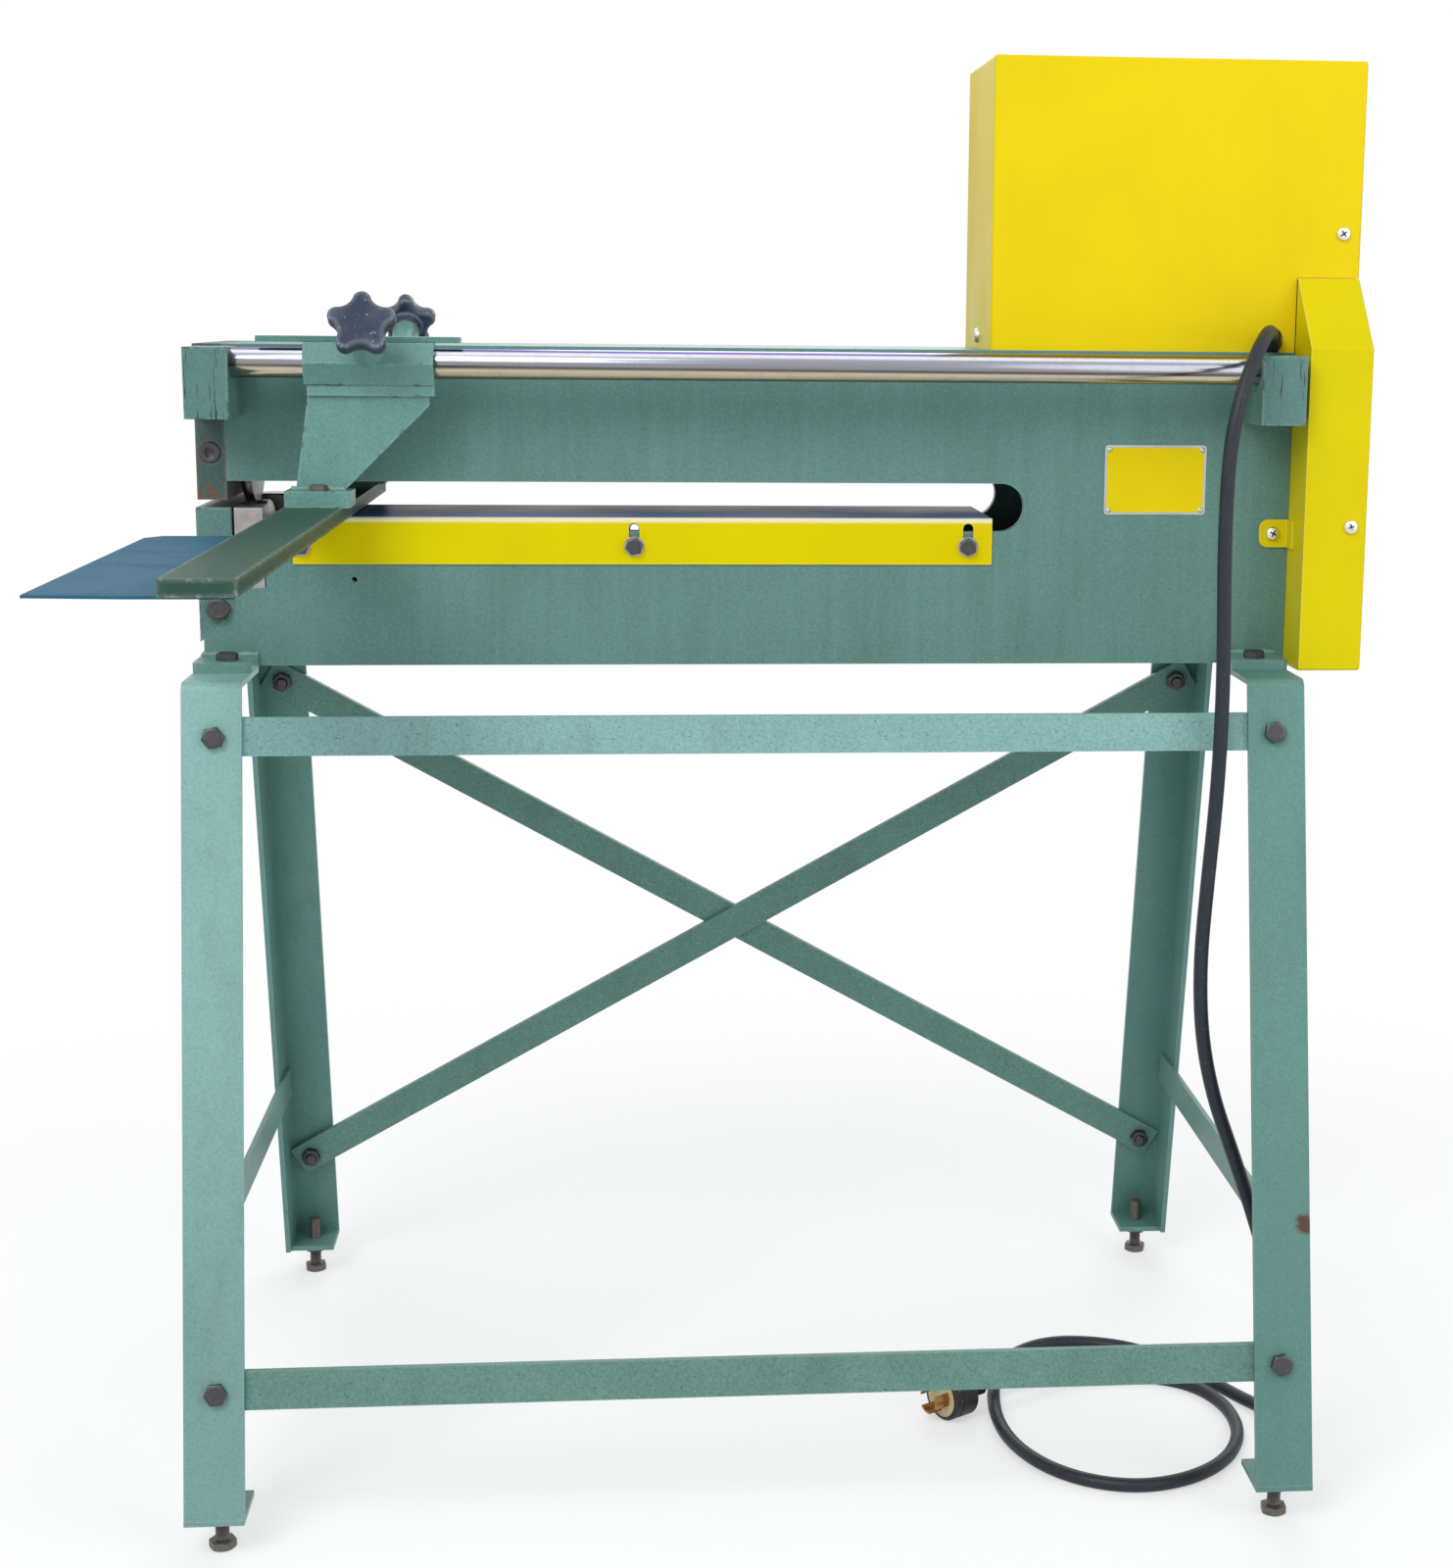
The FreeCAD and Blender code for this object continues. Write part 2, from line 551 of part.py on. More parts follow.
def drilled_leg(web_heights):
    """Front left leg: a face, an outer return and two flanges, with its bolt holes."""
    outer = (-HALF_WIDTH, -HALF_WIDTH + LEG_FACE)
    top, bottom, wall = BEAM_BOTTOM, FOOT_HEIGHT, LEG_WALL
    face = slab_yz([(-leg_y(top), top), (-leg_y(bottom), bottom),
                    (-leg_y(bottom) + wall, bottom), (-leg_y(top) + wall, top)], outer)
    side = slab_yz([(-leg_y(top), top), (-leg_y(bottom), bottom),
                    (-leg_y(bottom) + LEG_RETURN, bottom), (-leg_y(top) + LEG_RETURN, top)],
                   (-HALF_WIDTH, -HALF_WIDTH + wall))
    head = box(outer, (-leg_y(top), -leg_y(top) + LEG_TOP_FLANGE), (top - wall, top))
    foot = box(outer, (-leg_y(bottom), -leg_y(bottom) + FOOT_FLANGE), (bottom, bottom + wall))
    leg = face.fuse([side, head, foot]).removeSplitter()
    bends = edges_where(leg, lambda c, e: runs_along(e, Vec(1, 0, 0)) and e.Length > wall * 2
                        and abs(c.y + leg_y(top)) < 0.1 and abs(c.z - top) < 0.1)
    leg = leg.makeFillet(LEG_BEND, bends)
    for z in web_heights:
        leg = leg.cut(bolt_hole(STAND_BOLT, web_point(-BOLT_LINE_X, z), front_normal(), THROUGH))
    leg = leg.cut(bolt_hole(STAND_BOLT, (-BOLT_LINE_X, mount_bolt_y(), top), (0, 0, 1), THROUGH))
    return leg.cut(bolt_hole(LEVELLING_BOLT, levelling_point(), (0, 0, 1), THROUGH))


def mount_bolt_y():
    """Line of the bolts that hold the beam down, in front."""
    return -(HALF_BEAM + MOUNT_BOLT_OUT)


def levelling_point():
    """Place of the front left levelling bolt on the foot flange."""
    return Vec(-BOLT_LINE_X, -leg_y(FOOT_HEIGHT) + LEVELLING_INSET, FOOT_HEIGHT)


def rear_left_leg():
    """The front leg's mirror, drilled at the brace's heights."""
    return mirrored_y(drilled_leg((BRACE_TOP_Z, BRACE_LOW_Z)))


def front_rail(z):
    """Flat bar bolted behind the front leg faces."""
    low, high = z - RAIL_HEIGHT / 2, z + RAIL_HEIGHT / 2
    near, far = LEG_WALL, LEG_WALL + RAIL_WALL
    half = HALF_WIDTH - LEG_WALL - SIDE_GAP
    rail = slab_yz([(-leg_y(low) + near, low), (-leg_y(high) + near, high),
                    (-leg_y(high) + far, high), (-leg_y(low) + far, low)], (-half, half))
    for side in (-1, 1):
        at = web_point(side * BOLT_LINE_X, z)
        rail = rail.cut(bolt_hole(STAND_BOLT, at, front_normal(), THROUGH))
    return rail


def side_rail():
    """Left flat bar welded inside the returns of the front and rear legs."""
    low, high = SIDE_RAIL_Z - RAIL_HEIGHT / 2, SIDE_RAIL_Z + RAIL_HEIGHT / 2
    inner = -HALF_WIDTH + LEG_WALL
    ends = [(-leg_y(low) + LEG_WALL + RAIL_WALL, low), (-leg_y(high) + LEG_WALL + RAIL_WALL, high)]
    outline = ends + [(-y, z) for y, z in reversed(ends)]
    return slab_yz(outline, (inner, inner + RAIL_WALL))


def brace_bar(rising, layer):
    """Flat bar between the rear legs, on their inner faces or one bar's thickness in front."""
    normal = -front_normal()
    thick = RAIL_WALL
    left_z, right_z = (BRACE_LOW_Z, BRACE_TOP_Z) if rising else (BRACE_TOP_Z, BRACE_LOW_Z)
    start = web_point(-BOLT_LINE_X, left_z)
    end = web_point(BOLT_LINE_X, right_z)
    along = (end - start).normalize()
    across = normal.cross(along)
    margin = BRACE_WIDTH / 2
    blank = Part.makeBox((end - start).Length + 2 * margin, BRACE_WIDTH, thick,
                         Vec(-margin, -BRACE_WIDTH / 2, 0))
    for x in (0, (end - start).Length):
        blank = blank.cut(Part.makeCylinder(STAND_BOLT / 2 + BOLT_CLEARANCE, thick, Vec(x, 0, 0)))
    base = start + normal * (web_thickness() + layer * thick)
    blank.Placement = FreeCAD.Placement(base, FreeCAD.Rotation(along, across, normal, "ZXY"))
    return mirrored_y(blank)


def web_thickness():
    """Thickness of a leg's face, square to the face."""
    return LEG_WALL / Vec(0, 1, LEG_SPLAY).Length


def build_stand():
    """Four legs, rails, cross brace and everything that bolts them."""
    front = front_left_leg()
    rear = rear_left_leg()
    add("leg_front_left", front)
    add("leg_front_right", mirrored_x(front))
    add("leg_rear_left", rear)
    add("leg_rear_right", mirrored_x(rear))
    add("upper_front_rail", front_rail(UPPER_RAIL_Z))
    add("lower_front_rail", front_rail(LOWER_RAIL_Z))
    add("side_rails", side_rail(), mirrored_x(side_rail()))
    add("brace_bar_falling", brace_bar(False, 0))
    add("brace_bar_rising", brace_bar(True, 1))
    for side in (-1, 1):
        build_front_fasteners(side)
        build_brace_fasteners(side)


def build_front_fasteners(side):
    """Bolts and nuts of one end of the stand: rails, beam plates and levelling feet."""
    x = side * BOLT_LINE_X
    for z in (UPPER_RAIL_Z, LOWER_RAIL_Z):
        grip = web_thickness() * 2
        bolt = hex_bolt(STAND_BOLT, grip + THREAD_SHOWING, web_point(x, z), front_normal())
        add("stand_bolts", bolt)
        add("stand_nuts", nut(STAND_BOLT, web_point(x, z, grip), -front_normal()))
    plate_top = BEAM_BOTTOM + MOUNT_PLATE_THICK
    plate = box((side * (HALF_WIDTH - LEG_FACE), side * HALF_WIDTH),
                (-HALF_BEAM - MOUNT_PLATE_DEPTH, -HALF_BEAM), (BEAM_BOTTOM, plate_top))
    corners = edges_where(plate, lambda c, e: runs_along(e, Vec(0, 0, 1))
                          and c.y < -HALF_BEAM - 1)
    plate = plate.makeChamfer(MOUNT_PLATE_CORNER, corners)
    at = Vec(x, mount_bolt_y(), plate_top)
    plate = plate.cut(bolt_hole(STAND_BOLT, at, (0, 0, 1), THROUGH))
    grip = MOUNT_PLATE_THICK + LEG_WALL
    bolt = hex_bolt(STAND_BOLT, grip + THREAD_SHOWING, at, (0, 0, 1))
    locknut = nut(STAND_BOLT, at - Vec(0, 0, grip), (0, 0, -1))
    foot = levelling_point()
    foot.x = x
    levelling = levelling_bolt(foot)
    flange_nut = nut(LEVELLING_BOLT, foot, (0, 0, -1))
    for shape, name in ((plate, "mounting_plates"), (bolt, "stand_bolts"), (locknut, "stand_nuts"),
                        (levelling, "levelling_bolts"), (flange_nut, "levelling_nuts")):
        add(name, shape, mirrored_y(shape))


def levelling_bolt(foot):
    """Bolt with its head on the floor, screwed up through the foot flange."""
    head = hexagon(HEX_FLATS * LEVELLING_BOLT, HEAD_HEIGHT * LEVELLING_BOLT)
    top = FOOT_HEIGHT + LEG_WALL + LEVELLING_STUD
    stud = Part.makeCylinder(LEVELLING_BOLT / 2, top)
    point = edges_where(stud, lambda c, e: c.z > top - 0.1 and e.Closed)
    stud = stud.makeChamfer(LEVELLING_BOLT / 10, point)
    bolt = head.fuse(stud).removeSplitter()
    bolt.translate(Vec(foot.x, foot.y, 0))
    return bolt


def build_brace_fasteners(side):
    """Bolts, nuts and spacing washers at one end of the cross brace."""
    x = side * BOLT_LINE_X
    rising_z = BRACE_TOP_Z if side > 0 else BRACE_LOW_Z
    for z in (BRACE_TOP_Z, BRACE_LOW_Z):
        layers = 2 if z == rising_z else 1
        grip = web_thickness() + layers * RAIL_WALL
        bolt = hex_bolt(STAND_BOLT, grip + THREAD_SHOWING, web_point(x, z), front_normal())
        locknut = nut(STAND_BOLT, web_point(x, z, grip), -front_normal())
        add("stand_bolts", mirrored_y(bolt))
        add("stand_nuts", mirrored_y(locknut))
        if layers == 2:
            ring = Part.makeCylinder(BRACE_WASHER_RADIUS, RAIL_WALL)
            ring = ring.cut(Part.makeCylinder(STAND_BOLT / 2 + BOLT_CLEARANCE, RAIL_WALL))
            ring = placed(ring, web_point(x, z, web_thickness()), -front_normal())
            add("brace_washers", mirrored_y(ring))


# Beam

def front_side_plate():
    """Flame-cut cheek with the throat slot open to the left."""
    block = LOWER_BLOCK
    outline = [
        (BEAM_LEFT, BEAM_BOTTOM), (BEAM_RIGHT, BEAM_BOTTOM), (BEAM_RIGHT, BEAM_TOP),
        (UPPER_BLOCK[1], BEAM_TOP), (UPPER_BLOCK[1], SLOT_TOP), (SLOT_END_X, SLOT_TOP),
        (SLOT_END_X, SLOT_BOTTOM), (GUIDE_BLOCK[1] + 1, SLOT_BOTTOM),
        (GUIDE_BLOCK[1] + 1, GUIDE_BLOCK_BOTTOM), (block[1] + SIDE_GAP, GUIDE_BLOCK_BOTTOM),
        (block[1] + SIDE_GAP, LOWER_BLOCK_SHOULDER - SIDE_GAP),
        (BEAM_LEFT, LOWER_BLOCK_SHOULDER - SIDE_GAP - (block[1] + SIDE_GAP - BEAM_LEFT)),
    ]
    faces = (-HALF_BEAM, -HALF_BEAM + SIDE_WALL)
    plate = slab_xz(outline, faces)
    slot_end = rod(SLOT_RADIUS, (SLOT_END_X, faces[0], SLOT_TOP - SLOT_RADIUS), (0, 1, 0), SIDE_WALL)
    plate = plate.cut(slot_end)
    for x in GUARD_BOLTS_X:
        plate = plate.cut(bolt_hole(GUARD_BOLT, (x, -HALF_BEAM, GUARD_BOLT_Z), (0, 1, 0), THROUGH))
    right, up, radius = TAPPED_HOLE
    holes = [rod(radius, (BEAM_LEFT + right, -HALF_BEAM, BEAM_BOTTOM + up), (0, 1, 0), SIDE_WALL),
             rod(SCREW_RADIUS, (TAB_SCREW_X, -HALF_BEAM, TAB_SCREW_Z), (0, 1, 0), SIDE_WALL)]
    return plate.cut(holes)


def build_beam():
    """Two cheeks tied by plates, with the drive end plate between them."""
    front = front_side_plate()
    add("front_side_plate", front)
    add("rear_side_plate", mirrored_y(front))
    inner = HALF_BEAM - SIDE_WALL
    add("beam_top_plate",
        box((UPPER_BLOCK[1], BEAM_RIGHT), (-inner, inner), (BEAM_TOP - SIDE_WALL, BEAM_TOP)))
    add("beam_bottom_plate",
        box((BEARING_BLOCK[0], BEAM_RIGHT), (-inner, inner), (BEAM_BOTTOM, BEAM_BOTTOM + SIDE_WALL)))
    end = box((BEAM_RIGHT - SIDE_WALL, BEAM_RIGHT), (-inner, inner),
              (BEAM_BOTTOM + SIDE_WALL, BEAM_TOP - SIDE_WALL))
    for z in (LOWER_AXIS_Z, UPPER_AXIS_Z):
        end = end.cut(bush_seat(end.BoundBox.XMin, SIDE_WALL, z, ARBOR_RADIUS))
    add("drive_end_plate", end)


def bush_seat(x, length, z, shaft_radius):
    """Hole that a bush is pressed into."""
    return rod(shaft_radius + RUNNING_FIT + BUSH_WALL, (x, 0, z), (1, 0, 0), length)


def bush(x, length, z, shaft_radius):
    """Plain bronze bush round a shaft."""
    outer = bush_seat(x, length, z, shaft_radius)
    return outer.cut(rod(shaft_radius + RUNNING_FIT, (x, 0, z), (1, 0, 0), length))


def build_cutter_end():
    """End blocks, work guides, inner bearing blocks and the bushes in all of them."""
    depth = (-HALF_BEAM, HALF_BEAM)
    inner = HALF_BEAM - SIDE_WALL
    upper = box(UPPER_BLOCK, depth, (UPPER_BLOCK_BOTTOM, BEAM_TOP))
    left, right = LOWER_BLOCK
    lower = slab_xz([(left, LOWER_BLOCK_SHOULDER - (right - left)), (right, LOWER_BLOCK_SHOULDER),
                     (right, LOWER_BLOCK_TOP), (left, LOWER_BLOCK_TOP)], depth)
    upper_seat = (UPPER_BLOCK[0], UPPER_BLOCK[1] - UPPER_BLOCK[0], UPPER_AXIS_Z, JOURNAL_RADIUS)
    lower_seat = (LOWER_BLOCK[0], LOWER_BLOCK[1] - LOWER_BLOCK[0], LOWER_AXIS_Z, JOURNAL_RADIUS)
    upper = upper.cut(bush_seat(*upper_seat))
    lower = lower.cut(bush_seat(*lower_seat))
    add("arbor_bushes", bush(*upper_seat), bush(*lower_seat))
    width = BEARING_BLOCK[1] - BEARING_BLOCK[0]
    for z, span in ((LOWER_AXIS_Z, (BEAM_BOTTOM + SIDE_WALL, SLOT_BOTTOM - BEARING_BLOCK_GAP)),
                    (UPPER_AXIS_Z, (SLOT_TOP + BEARING_BLOCK_GAP, BEAM_TOP - SIDE_WALL))):
        seat = (BEARING_BLOCK[0], width, z, ARBOR_RADIUS)
        block = box(BEARING_BLOCK, (-inner, inner), span).cut(bush_seat(*seat))
        add("bearing_blocks", block)
        add("arbor_bushes", bush(*seat))
        add("arbor_bushes", bush(BEAM_RIGHT - SIDE_WALL, SIDE_WALL, z, ARBOR_RADIUS))
    guide = box(GUIDE_BLOCK, (-HALF_BEAM, -CUTTER_RADIUS - GUIDE_BLOCK_ROOM),
                (GUIDE_BLOCK_BOTTOM, GUIDE_BLOCK_TOP))
    lip = edges_where(guide, lambda c, e: runs_along(e, Vec(1, 0, 0)) and c.z > GUIDE_BLOCK_TOP - 1)
    guide = guide.makeChamfer(GUIDE_BLOCK_LIP, lip)
    add("guide_blocks", guide, mirrored_y(guide))
    build_block_bolts(upper, lower)


def build_block_bolts(upper, lower):
    """Pinch bolts that enter the end blocks from the front and the back."""
    lower_at = Vec(sum(LOWER_BLOCK) / 2 + LOWER_BOLT_SHIFT, -HALF_BEAM,
                   LOWER_AXIS_Z - LOWER_BOLT_DROP)
    upper_at = Vec(sum(UPPER_BLOCK) / 2 + UPPER_BOLT_SHIFT, -HALF_BEAM,
                   UPPER_AXIS_Z - UPPER_BOLT_DROP)
    depth = BLOCK_BOLT_DEPTH
    floor = upper_at + Vec(0, SOCKET_HEAD_SUNK, 0)
    socket = Part.makeCylinder(SOCKET_HEAD_RADIUS, SOCKET_HEAD_LENGTH)
    socket = socket.cut(hexagon(SOCKET_FLATS, SOCKET_HEAD_LENGTH, SOCKET_HEAD_LENGTH / 2))
    socket = socket.fuse(Part.makeCylinder(SOCKET_SHANK / 2, depth, Vec(0, 0, -depth)))
    socket = placed(socket, floor, (0, -1, 0))
    bolt = hex_bolt(BLOCK_BOLT, depth, lower_at, (0, -1, 0))
    head_seat = rod(SOCKET_HEAD_RADIUS + BOLT_CLEARANCE, upper_at, (0, 1, 0), SOCKET_HEAD_SUNK)
    cuts = [head_seat, bolt_hole(SOCKET_SHANK, floor + Vec(0, depth / 2, 0), (0, 1, 0), depth)]
    cuts += [mirrored_y(cut) for cut in cuts]
    lower_hole = bolt_hole(BLOCK_BOLT, lower_at, (0, 1, 0), 2 * depth)
    add("upper_end_block", upper.cut(cuts))
    add("lower_end_block", lower.cut([lower_hole, mirrored_y(lower_hole)]))
    add("end_block_bolts", bolt, mirrored_y(bolt), socket, mirrored_y(socket))


# Guide bars, guard and nameplate

def build_guide_bars():
    """Ground bars in front and behind, spigoted into brackets on the beam."""
    spigot, seat = SPIGOT_RADIUS, SPIGOT_LENGTH
    left, right = BRACKETS[0][1], BRACKETS[1][0]
    bar = turned([(left - seat, spigot), (left, spigot), (left, BAR_RADIUS), (right, BAR_RADIUS),
                  (right, spigot), (right + seat, spigot)], -BAR_Y, BAR_Z)
    add("guide_bars", bar, mirrored_y(bar))
    for span, start in zip(BRACKETS, (left - seat, right)):
        bracket = box(span, (-BAR_Y - BRACKET_NOSE, -HALF_BEAM),
                      (BRACKET_TOP - BRACKET_HEIGHT, BRACKET_TOP))
        bracket = bracket.cut(rod(spigot + RUNNING_FIT, (start, -BAR_Y, BAR_Z), (1, 0, 0), seat))
        add("bar_brackets", bracket, mirrored_y(bracket))


def build_guard():
    """Folded guard over the lower arbor, hung on bolts through upright slots."""
    front = -HALF_BEAM - SHEET
    skirt = box(GUARD_X, (front, -HALF_BEAM), (GUARD_BOTTOM, GUARD_TOP))
    shelf = box(GUARD_X, (front, GUARD_BACK_Y), (GUARD_TOP - SHEET, GUARD_TOP))
    guard = skirt.fuse(shelf).removeSplitter()
    fold = edges_where(guard, lambda c, e: runs_along(e, Vec(1, 0, 0))
                       and c.y < front + 0.1 and c.z > GUARD_TOP - 0.1)
    guard = guard.makeFillet(GUARD_FOLD, fold)
    half = GUARD_SLOT_WIDTH / 2
    for x in GUARD_BOLTS_X:
        top = GUARD_BOLT_Z + GUARD_SLOT
        slot = box((x - half, x + half), (front, -HALF_BEAM), (GUARD_BOLT_Z, top))
        for z in (GUARD_BOLT_Z, top):
            slot = slot.fuse(rod(half, (x, front, z), (0, 1, 0), SHEET))
        guard = guard.cut(slot)
        add("guard_bolts", hex_bolt(GUARD_BOLT, GUARD_BOLT_LENGTH, (x, front, GUARD_BOLT_Z),
                                    (0, -1, 0)))
    add("shaft_guard", guard)


def build_nameplate():
    """Bare plate on the front cheek with a rivet in each corner."""
    inset = RIVET_INSET
    face = -HALF_BEAM - PLATE_THICK
    plate = box(PLATE_X, (face, -HALF_BEAM), PLATE_Z)
    plate = plate.makeFillet(PLATE_CORNER, edges_where(plate, lambda c, e: runs_along(e, Vec(0, 1, 0))))
    add("nameplate", plate)
    for x in (PLATE_X[0] + inset, PLATE_X[1] - inset):
        for z in (PLATE_Z[0] + inset, PLATE_Z[1] - inset):
            add("nameplate", rod(RIVET_RADIUS, (x, face, z), (0, -1, 0), RIVET_PROUD))


# Covers

def cover_outline(wall):
    """Drive cover in Y and Z, shrunk by a wall."""
    half = COVER_HALF_DEPTH - wall
    slope = (COVER_TOP - COVER_BEVEL_Z) / (COVER_HALF_DEPTH - HALF_BEAM)
    shift = wall * (math.sqrt(1 + slope * slope) - 1) / slope
    shoulder = COVER_BEVEL_Z - wall * (math.sqrt(1 + slope * slope) - slope)
    right = [(half, COVER_BOTTOM + wall), (half, shoulder), (HALF_BEAM - shift, COVER_TOP - wall)]
    return right + [(-y, z) for y, z in reversed(right)]


def build_drive_cover():
    """Folded cover over the gears and chain, open towards the beam, and its two tabs."""
    shell = slab_yz(cover_outline(0), (COVER_LEFT, COVER_RIGHT))
    folds = edges_where(shell, lambda c, e: runs_along(e, Vec(1, 0, 0)) or c.x > COVER_RIGHT - 0.1)
    shell = shell.makeFillet(COVER_FOLD, folds)
    hollow = slab_yz(cover_outline(SHEET), (COVER_LEFT + SHEET, COVER_RIGHT - SHEET))
    mouth = box((COVER_LEFT, COVER_LEFT + SHEET), (-HALF_BEAM, HALF_BEAM),
                (COVER_BOTTOM + SHEET, COVER_TOP - SHEET))
    shell = shell.cut(hollow).cut(mouth)
    right, up = COVER_SCREW
    at = (COVER_LEFT + right, -COVER_HALF_DEPTH, TAB_SCREW_Z + up)
    screw = pan_screw(at, (0, -1, 0), SCREW_BITE)
    screws = [screw, mirrored_y(screw)]
    add("cover_screws", *screws)
    add("drive_cover", shell.cut(screws))
    build_cover_tabs()


def build_cover_tabs():
    """Angled tabs that hook over the drive cover's edge, each screwed to a cheek."""
    tab_x = (TAB_SCREW_X - TAB_END, COVER_LEFT)
    tab_z = (TAB_SCREW_Z - TAB_WIDTH / 2, TAB_SCREW_Z + TAB_WIDTH / 2)
    front = -HALF_BEAM - SHEET
    foot = box(tab_x, (front, -HALF_BEAM), tab_z)
    foot = foot.makeFillet(TAB_CORNER, edges_where(foot, lambda c, e: runs_along(e, Vec(0, 1, 0))
                                                   and c.x < tab_x[0] + 0.1))
    ear = box((COVER_LEFT - SHEET, COVER_LEFT), (front - TAB_REACH, front), tab_z)
    tab = foot.fuse(ear).removeSplitter()
    at = Vec(TAB_SCREW_X, front, TAB_SCREW_Z)
    tab = tab.cut(bolt_hole(2 * SCREW_RADIUS, at, (0, 1, 0), 3 * SHEET))
    add("cover_tabs", tab, mirrored_y(tab))
    screw = pan_screw(at, (0, -1, 0), SHEET + SCREW_BITE)
    add("cover_screws", screw, mirrored_y(screw))


def build_motor_cover():
    """Folded box over the gearmotor, notched for the drive cover and the power cord."""
    whole = (BEAM_TOP, MOTOR_BOX_TOP)
    outer = box(MOTOR_BOX_X, MOTOR_BOX_Y, whole)
    outer = outer.makeFillet(COVER_FOLD, edges_where(outer, lambda c, e: c.z > BEAM_TOP + 0.1))
    inner = box((MOTOR_BOX_X[0] + SHEET, MOTOR_BOX_X[1] - SHEET),
                (MOTOR_BOX_Y[0] + SHEET, MOTOR_BOX_Y[1] - SHEET),
                (BEAM_TOP - SHEET, MOTOR_BOX_TOP - SHEET))
    gap = box((COVER_LEFT - SIDE_GAP, COVER_RIGHT), (-HALF_BEAM, HALF_BEAM),
              (BEAM_TOP, COVER_TOP + SIDE_GAP))
    radius = (NOTCH_X[1] - NOTCH_X[0]) / 2
    middle = (NOTCH_X[0] + NOTCH_X[1]) / 2
    wall = (MOTOR_BOX_Y[0], MOTOR_BOX_Y[0] + SHEET)
    notch = box(NOTCH_X, wall, (BEAM_TOP, NOTCH_TOP - radius))
    notch = notch.fuse(rod(radius, (middle, wall[0], NOTCH_TOP - radius), (0, 1, 0), SHEET))
    cover = outer.cut(inner).cut(gap).cut(notch)
    side_x, side_z = COVER_RIGHT - BOX_SCREW[0], COVER_TOP + BOX_SCREW[1]
    end_at = (MOTOR_BOX_X[0], BASE_SCREW_Y, BEAM_TOP + BASE_SCREW_RISE)
    screws = [pan_screw((side_x, MOTOR_BOX_Y[0], side_z), (0, -1, 0), SHEET + SCREW_BITE),
              pan_screw((side_x, MOTOR_BOX_Y[1], side_z), (0, 1, 0), SHEET + SCREW_BITE),
              pan_screw(end_at, (-1, 0, 0), SHEET + SCREW_BITE)]
    for screw in screws:
        add("cover_screws", screw)
        cover = cover.cut(screw)
    add("motor_cover", cover)
    build_gland(wall, radius, middle)


def build_gland(wall, radius, middle):
    """Rubber grommet that fills the notch, with a tapered sleeve round the cord."""
    face, back = wall[0] - GLAND_PROUD, wall[1] + GLAND_LIP
    centre_z = NOTCH_TOP - radius
    heading = (Vec(*CORD_ROUTE[1]) - Vec(*CORD_ROUTE[0])).normalize()
    mouth = Vec(middle, wall[0] - GLAND_MOUTH[0], centre_z - GLAND_MOUTH[1])
    body = box(NOTCH_X, (wall[0], back), (BEAM_TOP, centre_z))
    body = body.fuse(rod(radius, (middle, wall[0], centre_z), (0, 1, 0), back - wall[0]))
    flange = rod(radius + GLAND_LIP, (middle, face, centre_z), (0, 1, 0), wall[0] - face)
    length = GLAND_ROOT + GLAND_SLEEVE
    sleeve = Part.makeCone(*GLAND_RADII, length, mouth - heading * GLAND_ROOT, heading)
    beside = (middle - length, middle + length)
    below = box(beside, (wall[0] - length, back + length), (BEAM_TOP - length, BEAM_TOP))
    behind = box(beside, (wall[0], back + length), (BEAM_TOP - length, NOTCH_TOP + length))
    gland = body.fuse([flange.cut(below), sleeve.cut(behind)]).removeSplitter()
    gland = gland.cut(Part.makeCylinder(cord_corner() + RUNNING_FIT, length, mouth, heading))
    add("cord_gland", gland)


# Gearmotor

def build_motor():
    """Base plate with a screw tab, gearbox and motor under the motor cover."""
    base_x = (MOTOR_BOX_X[0] + SHEET, COVER_LEFT - 2 * SHEET)
    base_y = (MOTOR_BOX_Y[0] + BASE_MARGIN[0], MOTOR_BOX_Y[1] - BASE_MARGIN[1])
    base_top = BEAM_TOP + MOTOR_BASE_THICK
    base = box(base_x, base_y, (BEAM_TOP, base_top))
    tab = box((base_x[0], base_x[0] + MOTOR_BASE_THICK),
              (BASE_SCREW_Y - BASE_TAB_HALF, BASE_SCREW_Y + BASE_TAB_HALF),
              (base_top, base_top + BASE_TAB_HEIGHT))
    base = base.fuse(tab).removeSplitter()
    screw_at = (base_x[0], BASE_SCREW_Y, BEAM_TOP + BASE_SCREW_RISE)
    add("motor_base", base.cut(bolt_hole(2 * SCREW_RADIUS, screw_at, (1, 0, 0), 3 * SCREW_BITE)))
    left, right = GEARBOX_X
    housing = rod(MOTOR_RADIUS, (left, 0, MOTOR_Z), (1, 0, 0), right - left)
    body = box(GEARBOX_X, (-GEARBOX_HALF, GEARBOX_HALF), (base_top, MOTOR_Z))
    feet = box(GEARBOX_X, GEARBOX_FEET, (base_top, base_top + GEARBOX_FOOT))
    boss = rod(OUTPUT_BOSS_RADIUS, (right, 0, OUTPUT_Z), (1, 0, 0), 2 * SHEET)
    gearbox = housing.fuse([body, feet, boss]).removeSplitter()
    seat = rod(OUTPUT_RADIUS + RUNNING_FIT, (right - OUTPUT_DEPTH, 0, OUTPUT_Z), (1, 0, 0),
               OUTPUT_DEPTH + 2 * SHEET)
    add("gearbox", gearbox.cut(seat))
    start, bell = left - MOTOR_LENGTH, MOTOR_RADIUS - GEARBOX_FOOT
    motor = turned([(start, bell), (start + FAN_COVER_LENGTH, bell),
                    (start + FAN_COVER_LENGTH, MOTOR_RADIUS), (left, MOTOR_RADIUS)], 0, MOTOR_Z)
    offset, length, width, height = TERMINAL_BOX
    top = MOTOR_Z + MOTOR_RADIUS
    terminals = box((start + offset, start + offset + length), (-width / 2, width / 2),
                    (top - height / 2, top + height))
    add("motor", motor.fuse(terminals).removeSplitter())


# Gears, cutters and arbors

